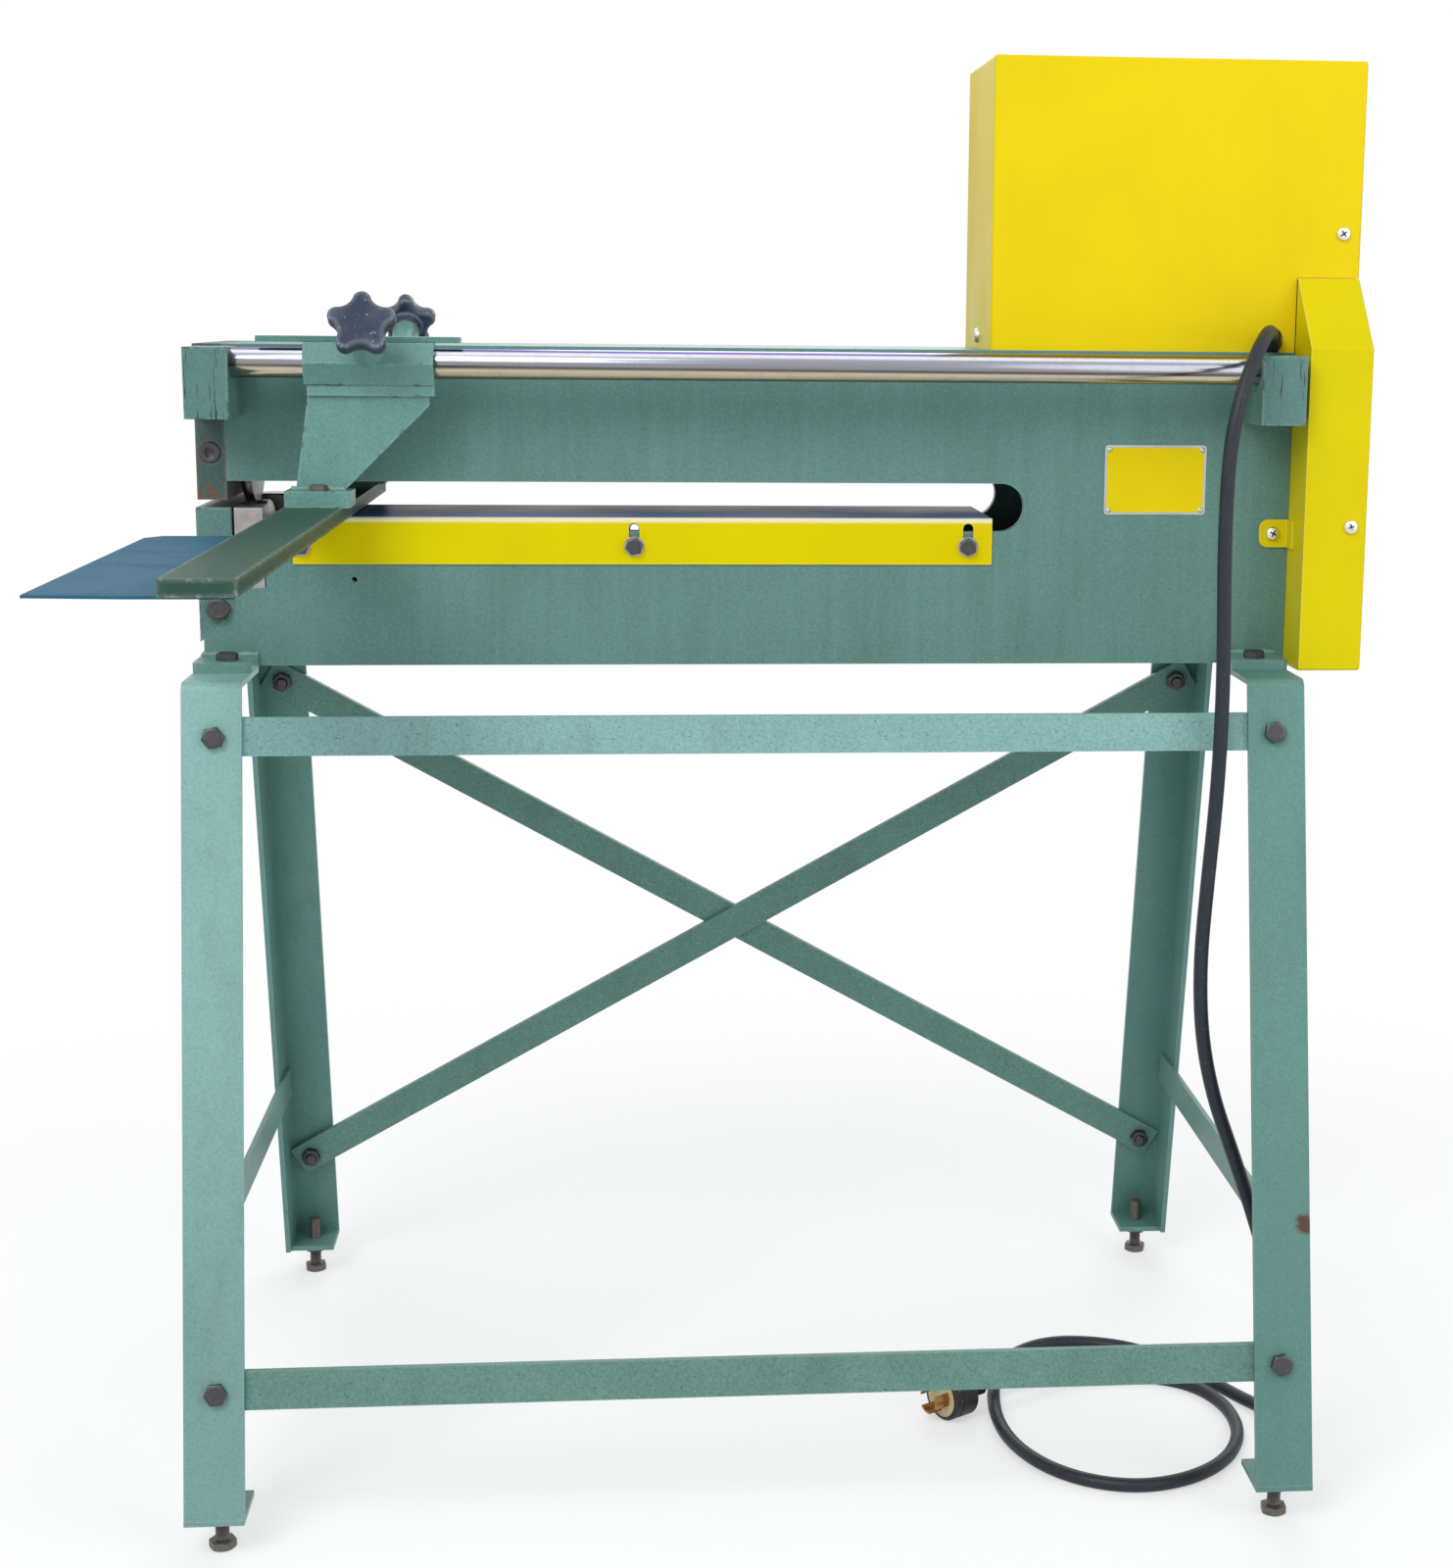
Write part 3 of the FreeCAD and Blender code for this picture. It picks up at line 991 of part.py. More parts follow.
def involute(angle):
    """Involute function of a pressure angle."""
    return math.tan(angle) - angle


def spur_gear(x, width, axis_z, first_tooth):
    """Involute spur gear; the first tooth's angle is taken from straight up."""
    pressure = math.radians(PRESSURE_ANGLE)
    base = PITCH_RADIUS * math.cos(pressure)
    half_tooth = (math.pi * GEAR_MODULE - GEAR_BACKLASH) / 4 / PITCH_RADIUS
    root = PITCH_RADIUS - GEAR_DEDENDUM * GEAR_MODULE
    flank = []
    for radius in (base, PITCH_RADIUS, PITCH_RADIUS + GEAR_MODULE):
        leaning = involute(math.acos(base / radius))
        flank.append((radius, half_tooth + involute(pressure) - leaning))
    flank[0] = (root, flank[0][1])
    outline = []
    for tooth in range(GEAR_TEETH):
        middle = first_tooth + 2 * math.pi * tooth / GEAR_TEETH
        outline += [(radius, middle - half) for radius, half in flank]
        outline += [(radius, middle + half) for radius, half in reversed(flank)]
    points = [(radius * math.sin(a), axis_z + radius * math.cos(a)) for radius, a in outline]
    return slab_yz(points, (x, x + width))


def build_gears():
    """Equal gears that turn the two arbors against each other."""
    for name, axis_z, first_tooth in (("lower_gear", LOWER_AXIS_Z, 0.0),
                                      ("upper_gear", UPPER_AXIS_Z,
                                       math.pi + math.pi / GEAR_TEETH)):
        gear = spur_gear(GEAR_START, GEAR_WIDTH, axis_z, first_tooth)
        hub = rod(GEAR_HUB_RADIUS, (COVER_LEFT, 0, axis_z), (1, 0, 0), GEAR_START - COVER_LEFT)
        gear = gear.fuse(hub).removeSplitter()
        bore = rod(GEAR_SEAT_RADIUS, (COVER_LEFT, 0, axis_z), (1, 0, 0), 2 * GEAR_WIDTH)
        add(name, gear.cut(bore))


def build_arbors():
    """Stepped arbors, each with its slitting cutter against a collar."""
    collar_end = BEARING_BLOCK[0] - SIDE_GAP
    for name, block, axis_z, disc_x, end in (
            ("upper", UPPER_BLOCK, UPPER_AXIS_Z, (CUTTER_LAP_X - CUTTER_WIDTH, CUTTER_LAP_X),
             GEAR_START + GEAR_WIDTH + ARBOR_END),
            ("lower", LOWER_BLOCK, LOWER_AXIS_Z,
             (CUTTER_LAP_X + SIDE_GAP, CUTTER_LAP_X + SIDE_GAP + CUTTER_WIDTH),
             CHAIN_X + SPROCKET_WIDTH / 2 + ARBOR_END)):
        shoulder = block[1] + SIDE_GAP
        add(name + "_arbor", turned(
            [(block[0] + ARBOR_END, JOURNAL_RADIUS), (shoulder, JOURNAL_RADIUS),
             (shoulder, ARBOR_RADIUS), (disc_x[1], ARBOR_RADIUS),
             (disc_x[1], CUTTER_HUB_RADIUS), (collar_end, CUTTER_HUB_RADIUS),
             (collar_end, ARBOR_RADIUS), (COVER_LEFT, ARBOR_RADIUS),
             (COVER_LEFT, GEAR_SEAT_RADIUS), (end, GEAR_SEAT_RADIUS)], 0, axis_z))
        disc = turned([(shoulder, CUTTER_HUB_RADIUS), (disc_x[0], CUTTER_HUB_RADIUS),
                       (disc_x[0], CUTTER_RADIUS), (disc_x[1], CUTTER_RADIUS)], 0, axis_z)
        bore = rod(ARBOR_RADIUS, (shoulder, 0, axis_z), (1, 0, 0), disc_x[1] - shoulder)
        add(name + "_cutter", disc.cut(bore))


# Chain drive

def chain_pin(count):
    """Pin's place in Y and Z, counted in pitches from the bottom of the lower sprocket."""
    distance = OUTPUT_Z - LOWER_AXIS_Z
    lean, span = chain_span(distance)
    on_large = LARGE_TEETH * (0.25 + lean / 2 / math.pi)
    on_span = span / CHAIN_PITCH
    side = 1 if count <= CHAIN_LINKS / 2 else -1
    count = min(count, CHAIN_LINKS - count)
    if count <= on_large:
        angle = 2 * math.pi * count / LARGE_TEETH
        y, z = LARGE_PITCH * math.sin(angle), LOWER_AXIS_Z - LARGE_PITCH * math.cos(angle)
    elif count <= on_large + on_span:
        run = (count - on_large) * CHAIN_PITCH
        y = LARGE_PITCH * math.cos(lean) - run * math.sin(lean)
        z = LOWER_AXIS_Z + LARGE_PITCH * math.sin(lean) + run * math.cos(lean)
    else:
        angle = 2 * math.pi * (CHAIN_LINKS / 2 - count) / SMALL_TEETH
        y, z = SMALL_PITCH * math.sin(angle), OUTPUT_Z + SMALL_PITCH * math.cos(angle)
    return Vec(CHAIN_X, side * y, z)


def link_plates(inner_face):
    """Pair of link plates along Z, that far each side of the chain's middle."""
    reach, half = (CHAIN_PITCH + LINK_HEIGHT) / 2, LINK_HEIGHT / 2
    outline = [(half, CHAIN_PITCH / 2), (0, reach), (-half, CHAIN_PITCH / 2)]
    outline += [(-y, -z) for y, z in outline]
    plate = slab_yz(outline, (inner_face, inner_face + LINK_WALL))
    return plate, plate.mirror(Vec(0, 0, 0), Vec(1, 0, 0))


def build_chain():
    """Roller chain round both sprockets: links with rollers between links with outer plates."""
    inner_face = ROLLER_WIDTH / 2
    plates = {0: link_plates(inner_face), 1: link_plates(inner_face + LINK_WALL)}
    step = 2 * math.pi / ROLLER_SIDES
    ring = [(ROLLER_RADIUS * math.cos(step * i), ROLLER_RADIUS * math.sin(step * i))
            for i in range(ROLLER_SIDES)]
    roller = slab_yz(ring, (-inner_face, inner_face))
    for link in range(CHAIN_LINKS):
        start, end = chain_pin(link), chain_pin(link + 1)
        along = (end - start).normalize()
        turn = FreeCAD.Rotation(Vec(1, 0, 0), Vec(1, 0, 0).cross(along) * -1, along, "ZXY")
        for plate in plates[link % 2]:
            copy = plate.copy()
            copy.Placement = FreeCAD.Placement((start + end) / 2, turn).multiply(plate.Placement)
            add("drive_chain", copy)
        copy = roller.copy()
        copy.translate(start)
        add("drive_chain", copy)


def sprocket(teeth, pitch_radius, axis_z):
    """Sprocket with a round seat for a roller between each pair of teeth."""
    seat = ROLLER_RADIUS + SIDE_GAP
    tip = pitch_radius + SPROCKET_TIP[0] * ROLLER_RADIUS
    half_tip = SPROCKET_TIP[1] * ROLLER_RADIUS
    reach = math.radians(SEAT_REACH)
    x = CHAIN_X - SPROCKET_WIDTH / 2

    def at(radial, sideways, turn):
        y = radial * math.sin(turn) + sideways * math.cos(turn)
        return Vec(x, y, axis_z + radial * math.cos(turn) - sideways * math.sin(turn))

    edges = []
    for tooth in range(teeth):
        turn = 2 * math.pi * tooth / teeth
        half_pitch = math.pi / teeth
        tip_turn = half_pitch - half_tip / tip
        seat_start = at(pitch_radius - seat * math.cos(reach), -seat * math.sin(reach), turn)
        seat_end = at(pitch_radius - seat * math.cos(reach), seat * math.sin(reach), turn)
        bottom = at(pitch_radius - seat, 0, turn)
        flank_start = at(tip, 0, turn - tip_turn)
        flank_end = at(tip, 0, turn + tip_turn)
        next_start = at(tip, 0, turn + 2 * half_pitch - tip_turn)
        edges.append(Part.LineSegment(flank_start, seat_start).toShape())
        edges.append(Part.Arc(seat_start, bottom, seat_end).toShape())
        edges.append(Part.LineSegment(seat_end, flank_end).toShape())
        edges.append(Part.LineSegment(flank_end, next_start).toShape())
    return Part.Face(Part.Wire(edges)).extrude(Vec(SPROCKET_WIDTH, 0, 0))


def build_sprockets():
    """Large sprocket on the lower arbor and small one on the gearbox's output shaft."""
    near = CHAIN_X - SPROCKET_WIDTH / 2
    for name, teeth, pitch, z, hub_radius, start, bore in (
            ("lower_sprocket", LARGE_TEETH, LARGE_PITCH, LOWER_AXIS_Z, LARGE_HUB_RADIUS,
             GEAR_START + GEAR_WIDTH, GEAR_SEAT_RADIUS),
            ("drive_sprocket", SMALL_TEETH, SMALL_PITCH, OUTPUT_Z, SMALL_HUB_RADIUS,
             near - SMALL_HUB_LENGTH, OUTPUT_RADIUS)):
        wheel = sprocket(teeth, pitch, z)
        wheel = wheel.fuse(rod(hub_radius, (start, 0, z), (1, 0, 0), near - start))
        hole = rod(bore, (start, 0, z), (1, 0, 0), near - start + SPROCKET_WIDTH)
        add(name, wheel.removeSplitter().cut(hole))
    start = GEARBOX_X[1] - OUTPUT_DEPTH
    end = CHAIN_X + SPROCKET_WIDTH / 2 + ARBOR_END
    shaft = rod(OUTPUT_RADIUS, (start, 0, OUTPUT_Z), (1, 0, 0), end - start)
    ends = edges_where(shaft, lambda c, e: e.Closed)
    add("output_shaft", shaft.makeChamfer(OUTPUT_RADIUS / 10, ends))


# Fence carriage

def clamp_axis_point(distance):
    """Point on the front clamp's axis, measured from the guide bar's axis."""
    return Vec(BOSS_X, -BAR_Y, BAR_Z) + CLAMP_NORMAL * distance


def front_sleeve():
    """Hexagonal sleeve on the front bar, with a boss for the clamp screw."""
    radius = 2 * SLEEVE_HALF / math.sqrt(3)
    corners = [(-BAR_Y + radius * math.cos(math.radians(60 * i)),
                BAR_Z + radius * math.sin(math.radians(60 * i))) for i in range(6)]
    sleeve = slab_yz(corners, SLEEVE_X)
    boss = Part.makeCylinder(BOSS_RADIUS, BOSS_END - BAR_RADIUS, clamp_axis_point(BAR_RADIUS),
                             CLAMP_NORMAL)
    sleeve = sleeve.fuse(boss).removeSplitter()
    bore = rod(BAR_RADIUS + RUNNING_FIT, (SLEEVE_X[0], -BAR_Y, BAR_Z), (1, 0, 0),
               SLEEVE_X[1] - SLEEVE_X[0])
    thread = Part.makeCylinder(STUD_RADIUS + RUNNING_FIT, BOSS_END + 1, clamp_axis_point(0),
                               CLAMP_NORMAL)
    return sleeve.cut(bore).cut(thread)


def front_hanger():
    """Plate that hangs from the sleeve, welded to a foot that grips the fence bar."""
    bottom, top = FENCE_TOP + FOOT_PLATE_THICK, BAR_Z - SLEEVE_HALF
    under = top - LEDGE_HEIGHT
    half = HANGER_WALL / 2
    right = SLEEVE_X[1] - HANGER_TOP[1]
    left = SLEEVE_X[0] + HANGER_TOP[0]
    web = slab_xz([(FENCE_X[0] + HANGER_BOTTOM[0], bottom), (FENCE_X[1] + HANGER_BOTTOM[1], bottom),
                   (right, under - HANGER_WALL), (right, under), (left, under)],
                  (-BAR_Y - half, -BAR_Y + half))
    ledge = box((left, SLEEVE_X[1]),
                (-BAR_Y - LEDGE_HALF, -BAR_Y + LEDGE_HALF), (under, top))
    foot = box((FENCE_X[0] + FOOT_PLATE_X[0], FENCE_X[1] + FOOT_PLATE_X[1]),
               (-BAR_Y - FOOT_PLATE_HALF, -BAR_Y + FOOT_PLATE_HALF), (FENCE_TOP, bottom))
    corners = edges_where(foot, lambda c, e: runs_along(e, Vec(0, 0, 1)))
    foot = foot.makeChamfer(HANGER_WALL / 4, corners)
    hanger = web.fuse([ledge, foot]).removeSplitter()
    at = (FOOT_BOLT_X, FOOT_BOLT_Y, FENCE_TOP)
    return hanger.cut(bolt_hole(FOOT_BOLT, at, (0, 0, 1), THROUGH))


def star_outline():
    """Closed wire of a lobed knob: round lobes joined by tangent hollows, one lobe up."""
    lobe_radius, lobe_at, hollow_radius = KNOB_LOBE_RADIUS, KNOB_LOBE_AT, KNOB_HOLLOW_RADIUS
    half = math.pi / KNOB_LOBES
    reach = lobe_radius + hollow_radius
    hollow_at = lobe_at * math.cos(half) + math.sqrt(reach ** 2 - (lobe_at * math.sin(half)) ** 2)

    def at(radius, angle):
        return Vec(radius * math.cos(angle), radius * math.sin(angle), 0)

    edges = []
    for lobe in range(KNOB_LOBES):
        angle = 2 * half * lobe + math.pi / 2
        centre = at(lobe_at, angle)
        before, after = at(hollow_at, angle - half), at(hollow_at, angle + half)
        meet_before = centre + (before - centre) * (lobe_radius / reach)
        meet_after = centre + (after - centre) * (lobe_radius / reach)
        following = at(lobe_at, angle + 2 * half)
        meet_next = following + (after - following) * (lobe_radius / reach)
        edges.append(Part.Arc(meet_before, at(lobe_at + lobe_radius, angle), meet_after).toShape())
        edges.append(Part.Arc(meet_after, at(hollow_at - hollow_radius, angle + half),
                              meet_next).toShape())
    return Part.Wire(edges)


def clamp_knob():
    """Star knob with its hub and stud, screwed into the front sleeve's boss."""
    star = Part.Face(star_outline()).extrude(Vec(0, 0, KNOB_THICK))
    rims = edges_where(star, lambda c, e: abs(c.z) < 0.1 or c.z > KNOB_THICK - 0.1)
    star = star.makeChamfer(KNOB_BEVEL, rims)
    hub_length = KNOB_HUB_END - BOSS_END - SIDE_GAP
    hub = Part.makeCone(*KNOB_HUB_RADII, hub_length, Vec(0, 0, -hub_length))
    knob = star.fuse(hub).removeSplitter()
    stud_length = KNOB_HUB_END - BAR_RADIUS - SIDE_GAP
    stud = Part.makeCylinder(STUD_RADIUS, stud_length + STUD_GRIP, Vec(0, 0, -stud_length))
    knob = knob.cut(stud)
    turn = clamp_axis_point(KNOB_HUB_END)
    return placed(knob, turn, CLAMP_NORMAL), placed(stud, turn, CLAMP_NORMAL)


def build_carriage():
    """Fence bar on two hangers that slide on the guide bars, with a clamp each."""
    sleeve, hanger = front_sleeve(), front_hanger()
    add("carriage_sleeves", sleeve, mirrored_y(sleeve))
    add("front_hanger", hanger)
    add("rear_hanger", mirrored_y(hanger))
    knob = clamp_knob()
    add("front_clamp_knob", *knob)
    add("rear_clamp_knob", *[mirrored_y(shape) for shape in knob])
    fence = box(FENCE_X, (FENCE_NEAR_Y, BAR_Y + FENCE_FAR), (FENCE_BOTTOM, FENCE_TOP))
    bolt = hex_bolt(FOOT_BOLT, FOOT_PLATE_THICK + FENCE_THICK - SHEET,
                    (FOOT_BOLT_X, FOOT_BOLT_Y, FENCE_TOP + FOOT_PLATE_THICK), (0, 0, 1))
    for y in (FOOT_BOLT_Y, -FOOT_BOLT_Y):
        fence = fence.cut(bolt_hole(FOOT_BOLT, (FOOT_BOLT_X, y, FENCE_TOP), (0, 0, 1), THROUGH))
    add("fence_bar", fence)
    add("foot_bolts", bolt, mirrored_y(bolt))
    build_support_sheet()
    build_pointer()


def build_support_sheet():
    """Thin sheet under the near end of the fence bar, standing out to its left."""
    left, right = FENCE_X[0] - SUPPORT_OUT, FENCE_X[1] - SUPPORT_UNDER
    near = FENCE_NEAR_Y + SUPPORT_NEAR
    far = near + SUPPORT_LENGTH
    near_x, near_y, far_x, far_y = SUPPORT_CORNERS
    outline = [(left, near + near_y), (left + near_x, near), (right, near), (right, far),
               (left + far_x, far), (left, far - far_y)]
    face = polygon([(x, y, FENCE_BOTTOM - SHEET) for x, y in outline])
    add("support_sheet", face.extrude(Vec(0, 0, SHEET)))


def build_pointer():
    """Flat strip on the front sleeve that points along the beam."""
    left, right = SLEEVE_X[0] - POINTER_ENDS[0], SLEEVE_X[1] + POINTER_ENDS[1]
    low, high = -BAR_Y + POINTER_SIDES[0], -BAR_Y + POINTER_SIDES[1]
    outline = [(right, low), (right, high), (left + POINTER_TIP[0], high),
               (left, high - POINTER_TIP[1]), (left, low)]
    face = polygon([(x, y, BAR_Z + SLEEVE_HALF) for x, y in outline])
    add("pointer_strip", face.extrude(Vec(0, 0, POINTER_THICK)))


# Power cord

def cord_path(points):
    """Straight runs joined by the largest tangent arcs that they allow."""
    edges = []
    radii = []
    at = points[0]
    for before, corner, after in zip(points, points[1:], points[2:]):
        incoming, outgoing = corner - before, after - corner
        half_turn = incoming.getAngle(outgoing) / 2
        trim = CORD_TRIM * min(incoming.Length, outgoing.Length)
        radius = trim / math.tan(half_turn)
        radii.append(radius)
        incoming, outgoing = incoming.normalize(), outgoing.normalize()
        start, end = corner - incoming * trim, corner + outgoing * trim
        inward = (outgoing - incoming).normalize()
        middle = corner + inward * (radius / math.cos(half_turn) - radius)
        edges.append(Part.LineSegment(at, start).toShape())
        edges.append(Part.Arc(start, middle, end).toShape())
        at = end
    edges.append(Part.LineSegment(at, points[-1]).toShape())
    return Part.Wire(edges), radii


def build_cord():
    """Power cord from the gland to the plug, and the plug on the floor."""
    points = [Vec(*point) for point in CORD_ROUTE]
    path, radii = cord_path(points)
    heading = points[1] - points[0]
    section = cord_section(points[0], heading)
    cord = Part.Solid(path.makePipeShell([section], True, False))
    add("power_cord", cord)
    expected = Part.Face(section).Area * path.Length
    print("cord length %.0f mm, volume ratio %.4f" % (path.Length, cord.Volume / expected))
    print("cord radii " + " ".join("%.0f" % radius for radius in radii))
    build_plug(points[-1], (points[-2] - points[-1]).normalize())


def cord_corner():
    """Radius to the corners of a many-sided ring of the round cord's own area."""
    step = 2 * math.pi / CORD_SIDES
    return CORD_DIAMETER / 2 * math.sqrt(step / math.sin(step))


def cord_section(centre, heading):
    """Ring of the cord, square to its first run."""
    step = 2 * math.pi / CORD_SIDES
    radius = cord_corner()
    turn = FreeCAD.Rotation(Vec(0, 0, 1), heading)
    ring = [turn.multVec(Vec(radius * math.cos(step * i), radius * math.sin(step * i), 0))
            for i in range(CORD_SIDES)]
    corners = [centre + offset for offset in ring]
    return Part.makePolygon(corners + corners[:1])


def build_plug(end, backwards):
    """Round locking plug lying on the floor: body, cord grip and curved blades."""
    length = PLUG_BODY + PLUG_NECK
    edge = PLUG_RADIUS / 8
    profile = [(0, 0), (PLUG_RADIUS - edge, 0), (PLUG_RADIUS, edge),
               (PLUG_RADIUS, PLUG_BODY - 2 * edge), (PLUG_NECK_RADIUS + edge, PLUG_BODY),
               (PLUG_NECK_RADIUS, length), (0, length)]
    body = polygon([(radius, 0, z) for radius, z in profile])
    body = body.revolve(Vec(0, 0, 0), Vec(0, 0, 1), 360)
    face = end - backwards * length
    add("power_plug", placed(body, face, backwards))
    inner, outer = BLADE_RADII
    reach = BLADE_LENGTH
    for start in BLADE_STARTS:
        ring = Part.makeCylinder(outer, reach, Vec(0, 0, -reach), Vec(0, 0, 1), BLADE_ARC)
        ring = ring.cut(Part.makeCylinder(inner, reach, Vec(0, 0, -reach)))
        ring.rotate(Vec(0, 0, 0), Vec(0, 0, 1), start)
        add("power_plug", placed_after(ring, face, backwards))


def placed_after(shape, at, direction):
    """Move a shape that has already been turned about its own axis."""
    turn = FreeCAD.Placement(Vec(*at), FreeCAD.Rotation(Vec(0, 0, 1), Vec(*direction)))
    shape.Placement = turn.multiply(shape.Placement)
    return shape


def footprint_centre():
    """Middle of the machine's outline on the floor, without the cord."""
    bounds = FreeCAD.BoundBox()
    for name, solids in pieces.items():
        if name not in cord_nodes:
            for solid in solids:
                bounds.add(solid.BoundBox)
    return Vec(bounds.Center.x, bounds.Center.y, 0)


def write_pieces():
    """Move the origin to the footprint's centre and write one file for each piece."""
    os.makedirs("parts", exist_ok=True)
    centre = footprint_centre()
    print("origin at (%.3f, %.3f) from the centre of the stand" % (centre.x, centre.y))
    for name, solids in pieces.items():
        shapes = []
        for solid in solids:
            for shape in solid.Solids:
                moved = shape.copy()
                moved.translate(-centre)
                shapes.append(moved)
        shape = shapes[0] if len(shapes) == 1 else Part.makeCompound(shapes)
        shape.exportStep("parts/%s.step" % name)


build_stand()
build_beam()
build_cutter_end()
build_guide_bars()
build_guard()
build_nameplate()
build_drive_cover()
build_motor_cover()
build_motor()
build_gears()
build_arbors()
build_sprockets()
build_chain()
build_carriage()
build_cord()
write_pieces()
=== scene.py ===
"""Looks of the sheet metal slitter: finishes, fasteners, welds, cord, light and camera.

Fasteners, welds, plate, plug and the cord's route are given in millimetres from the middle of
the stand. The meshes, the studio, the cord's thickness and all heights and reaches in the
finishes are metres in the part's own frame: +X runs towards the drive end, +Y towards the back
and +Z up.
"""
import logging
import math
from dataclasses import dataclass, field
from enum import Enum
from typing import Iterator, Sequence

import bmesh
import bpy
from mathutils import Matrix, Vector

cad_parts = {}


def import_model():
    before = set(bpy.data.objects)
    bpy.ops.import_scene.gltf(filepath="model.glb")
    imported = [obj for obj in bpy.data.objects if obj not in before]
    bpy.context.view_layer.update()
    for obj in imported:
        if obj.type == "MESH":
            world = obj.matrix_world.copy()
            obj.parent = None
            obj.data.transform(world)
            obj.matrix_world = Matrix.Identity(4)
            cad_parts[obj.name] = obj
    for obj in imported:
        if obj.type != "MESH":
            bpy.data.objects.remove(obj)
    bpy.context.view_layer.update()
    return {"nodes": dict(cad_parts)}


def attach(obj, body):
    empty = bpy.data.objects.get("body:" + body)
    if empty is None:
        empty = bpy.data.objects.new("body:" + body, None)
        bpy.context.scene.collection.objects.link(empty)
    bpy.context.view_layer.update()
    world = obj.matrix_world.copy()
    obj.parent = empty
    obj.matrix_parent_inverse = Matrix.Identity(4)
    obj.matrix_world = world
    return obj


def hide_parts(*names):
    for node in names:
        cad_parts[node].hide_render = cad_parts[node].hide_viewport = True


log = logging.getLogger("slitter")
Colour = tuple[float, float, float, float]
Triple = tuple[float, float, float]
Spot = tuple[float, float, float, float]
Node = bpy.types.Node
Wire = bpy.types.NodeSocket
Given = bpy.types.NodeOutputs
Wires = dict[str, Wire]
Shape = bmesh.types.BMesh
Thing = bpy.types.Object

MM = 0.001
ORIGIN_SHIFT = Vector((30.750, -196.950, 0.0)) * MM
UP, DOWN, FRONT, EVEN = (0, 0, 1), (0, 0, -1), (0, -1, 0), (1.0, 1.0, 1.0)
SAME_POINT = 2e-6
RING_GAP = 1e-3
FLAT_ANGLE, SHARP_ANGLE = math.radians(0.4), math.radians(38)
CHAMFER = math.tan(math.radians(30))
HEAD_RATIO = 0.65
SMALL_BOLT = {"diameter": 8.0, "pitch": 1.25, "thread": 10.0}
WHITE = (1, 1, 1, 1)
DUST_GREEN = (0.72, 0.86, 0.83, 1)
# Pale edge colour of the green enamel: partly paint rubbed thin, partly a painted highlight.
RUBBED_AND_HIGHLIGHT_GREEN = (0.55, 0.68, 0.64, 1)
SCRATCH = (0.05, 0.055, 0.06, 1)
RUST_DARK, RUST_PALE = (0.07, 0.022, 0.014, 1), (0.26, 0.125, 0.07, 1)
YELLOW_DIRT, YELLOW_SCUFF = (0.52, 0.38, 0.02, 1), (0.80, 0.74, 0.40, 1)
# Painted highlights of the yellow enamel: a pale line along a fold and a pale band on its edges.
PAINTED_FOLD_HIGHLIGHT, PAINTED_EDGE_HIGHLIGHT = (0.98, 0.90, 0.62, 1), (0.95, 0.90, 0.62, 1)
# Painted shade with a painted blue sky reflection, for the top of a folded sheet.
PAINTED_SHADE_DARK_BLUE, PAINTED_SHADE_PALE_BLUE = (0.006, 0.085, 0.330, 1), (0.020, 0.190, 0.560, 1)


def from_stand(x: float, y: float, z: float) -> Vector:
    """Turn millimetres from the middle of the stand into a point of the part's frame."""
    return Vector((x, y, z)) * MM - ORIGIN_SHIFT


def link(name: str, data: bpy.types.ID) -> Thing:
    """Put new data into the scene.

    Args:
        name: The object's name.
        data: Its mesh, curve, camera or lamp.

    Returns:
        The object, at the origin.
    """
    made = bpy.data.objects.new(name, data)
    bpy.context.scene.collection.objects.link(made)
    return made


# Shader trees


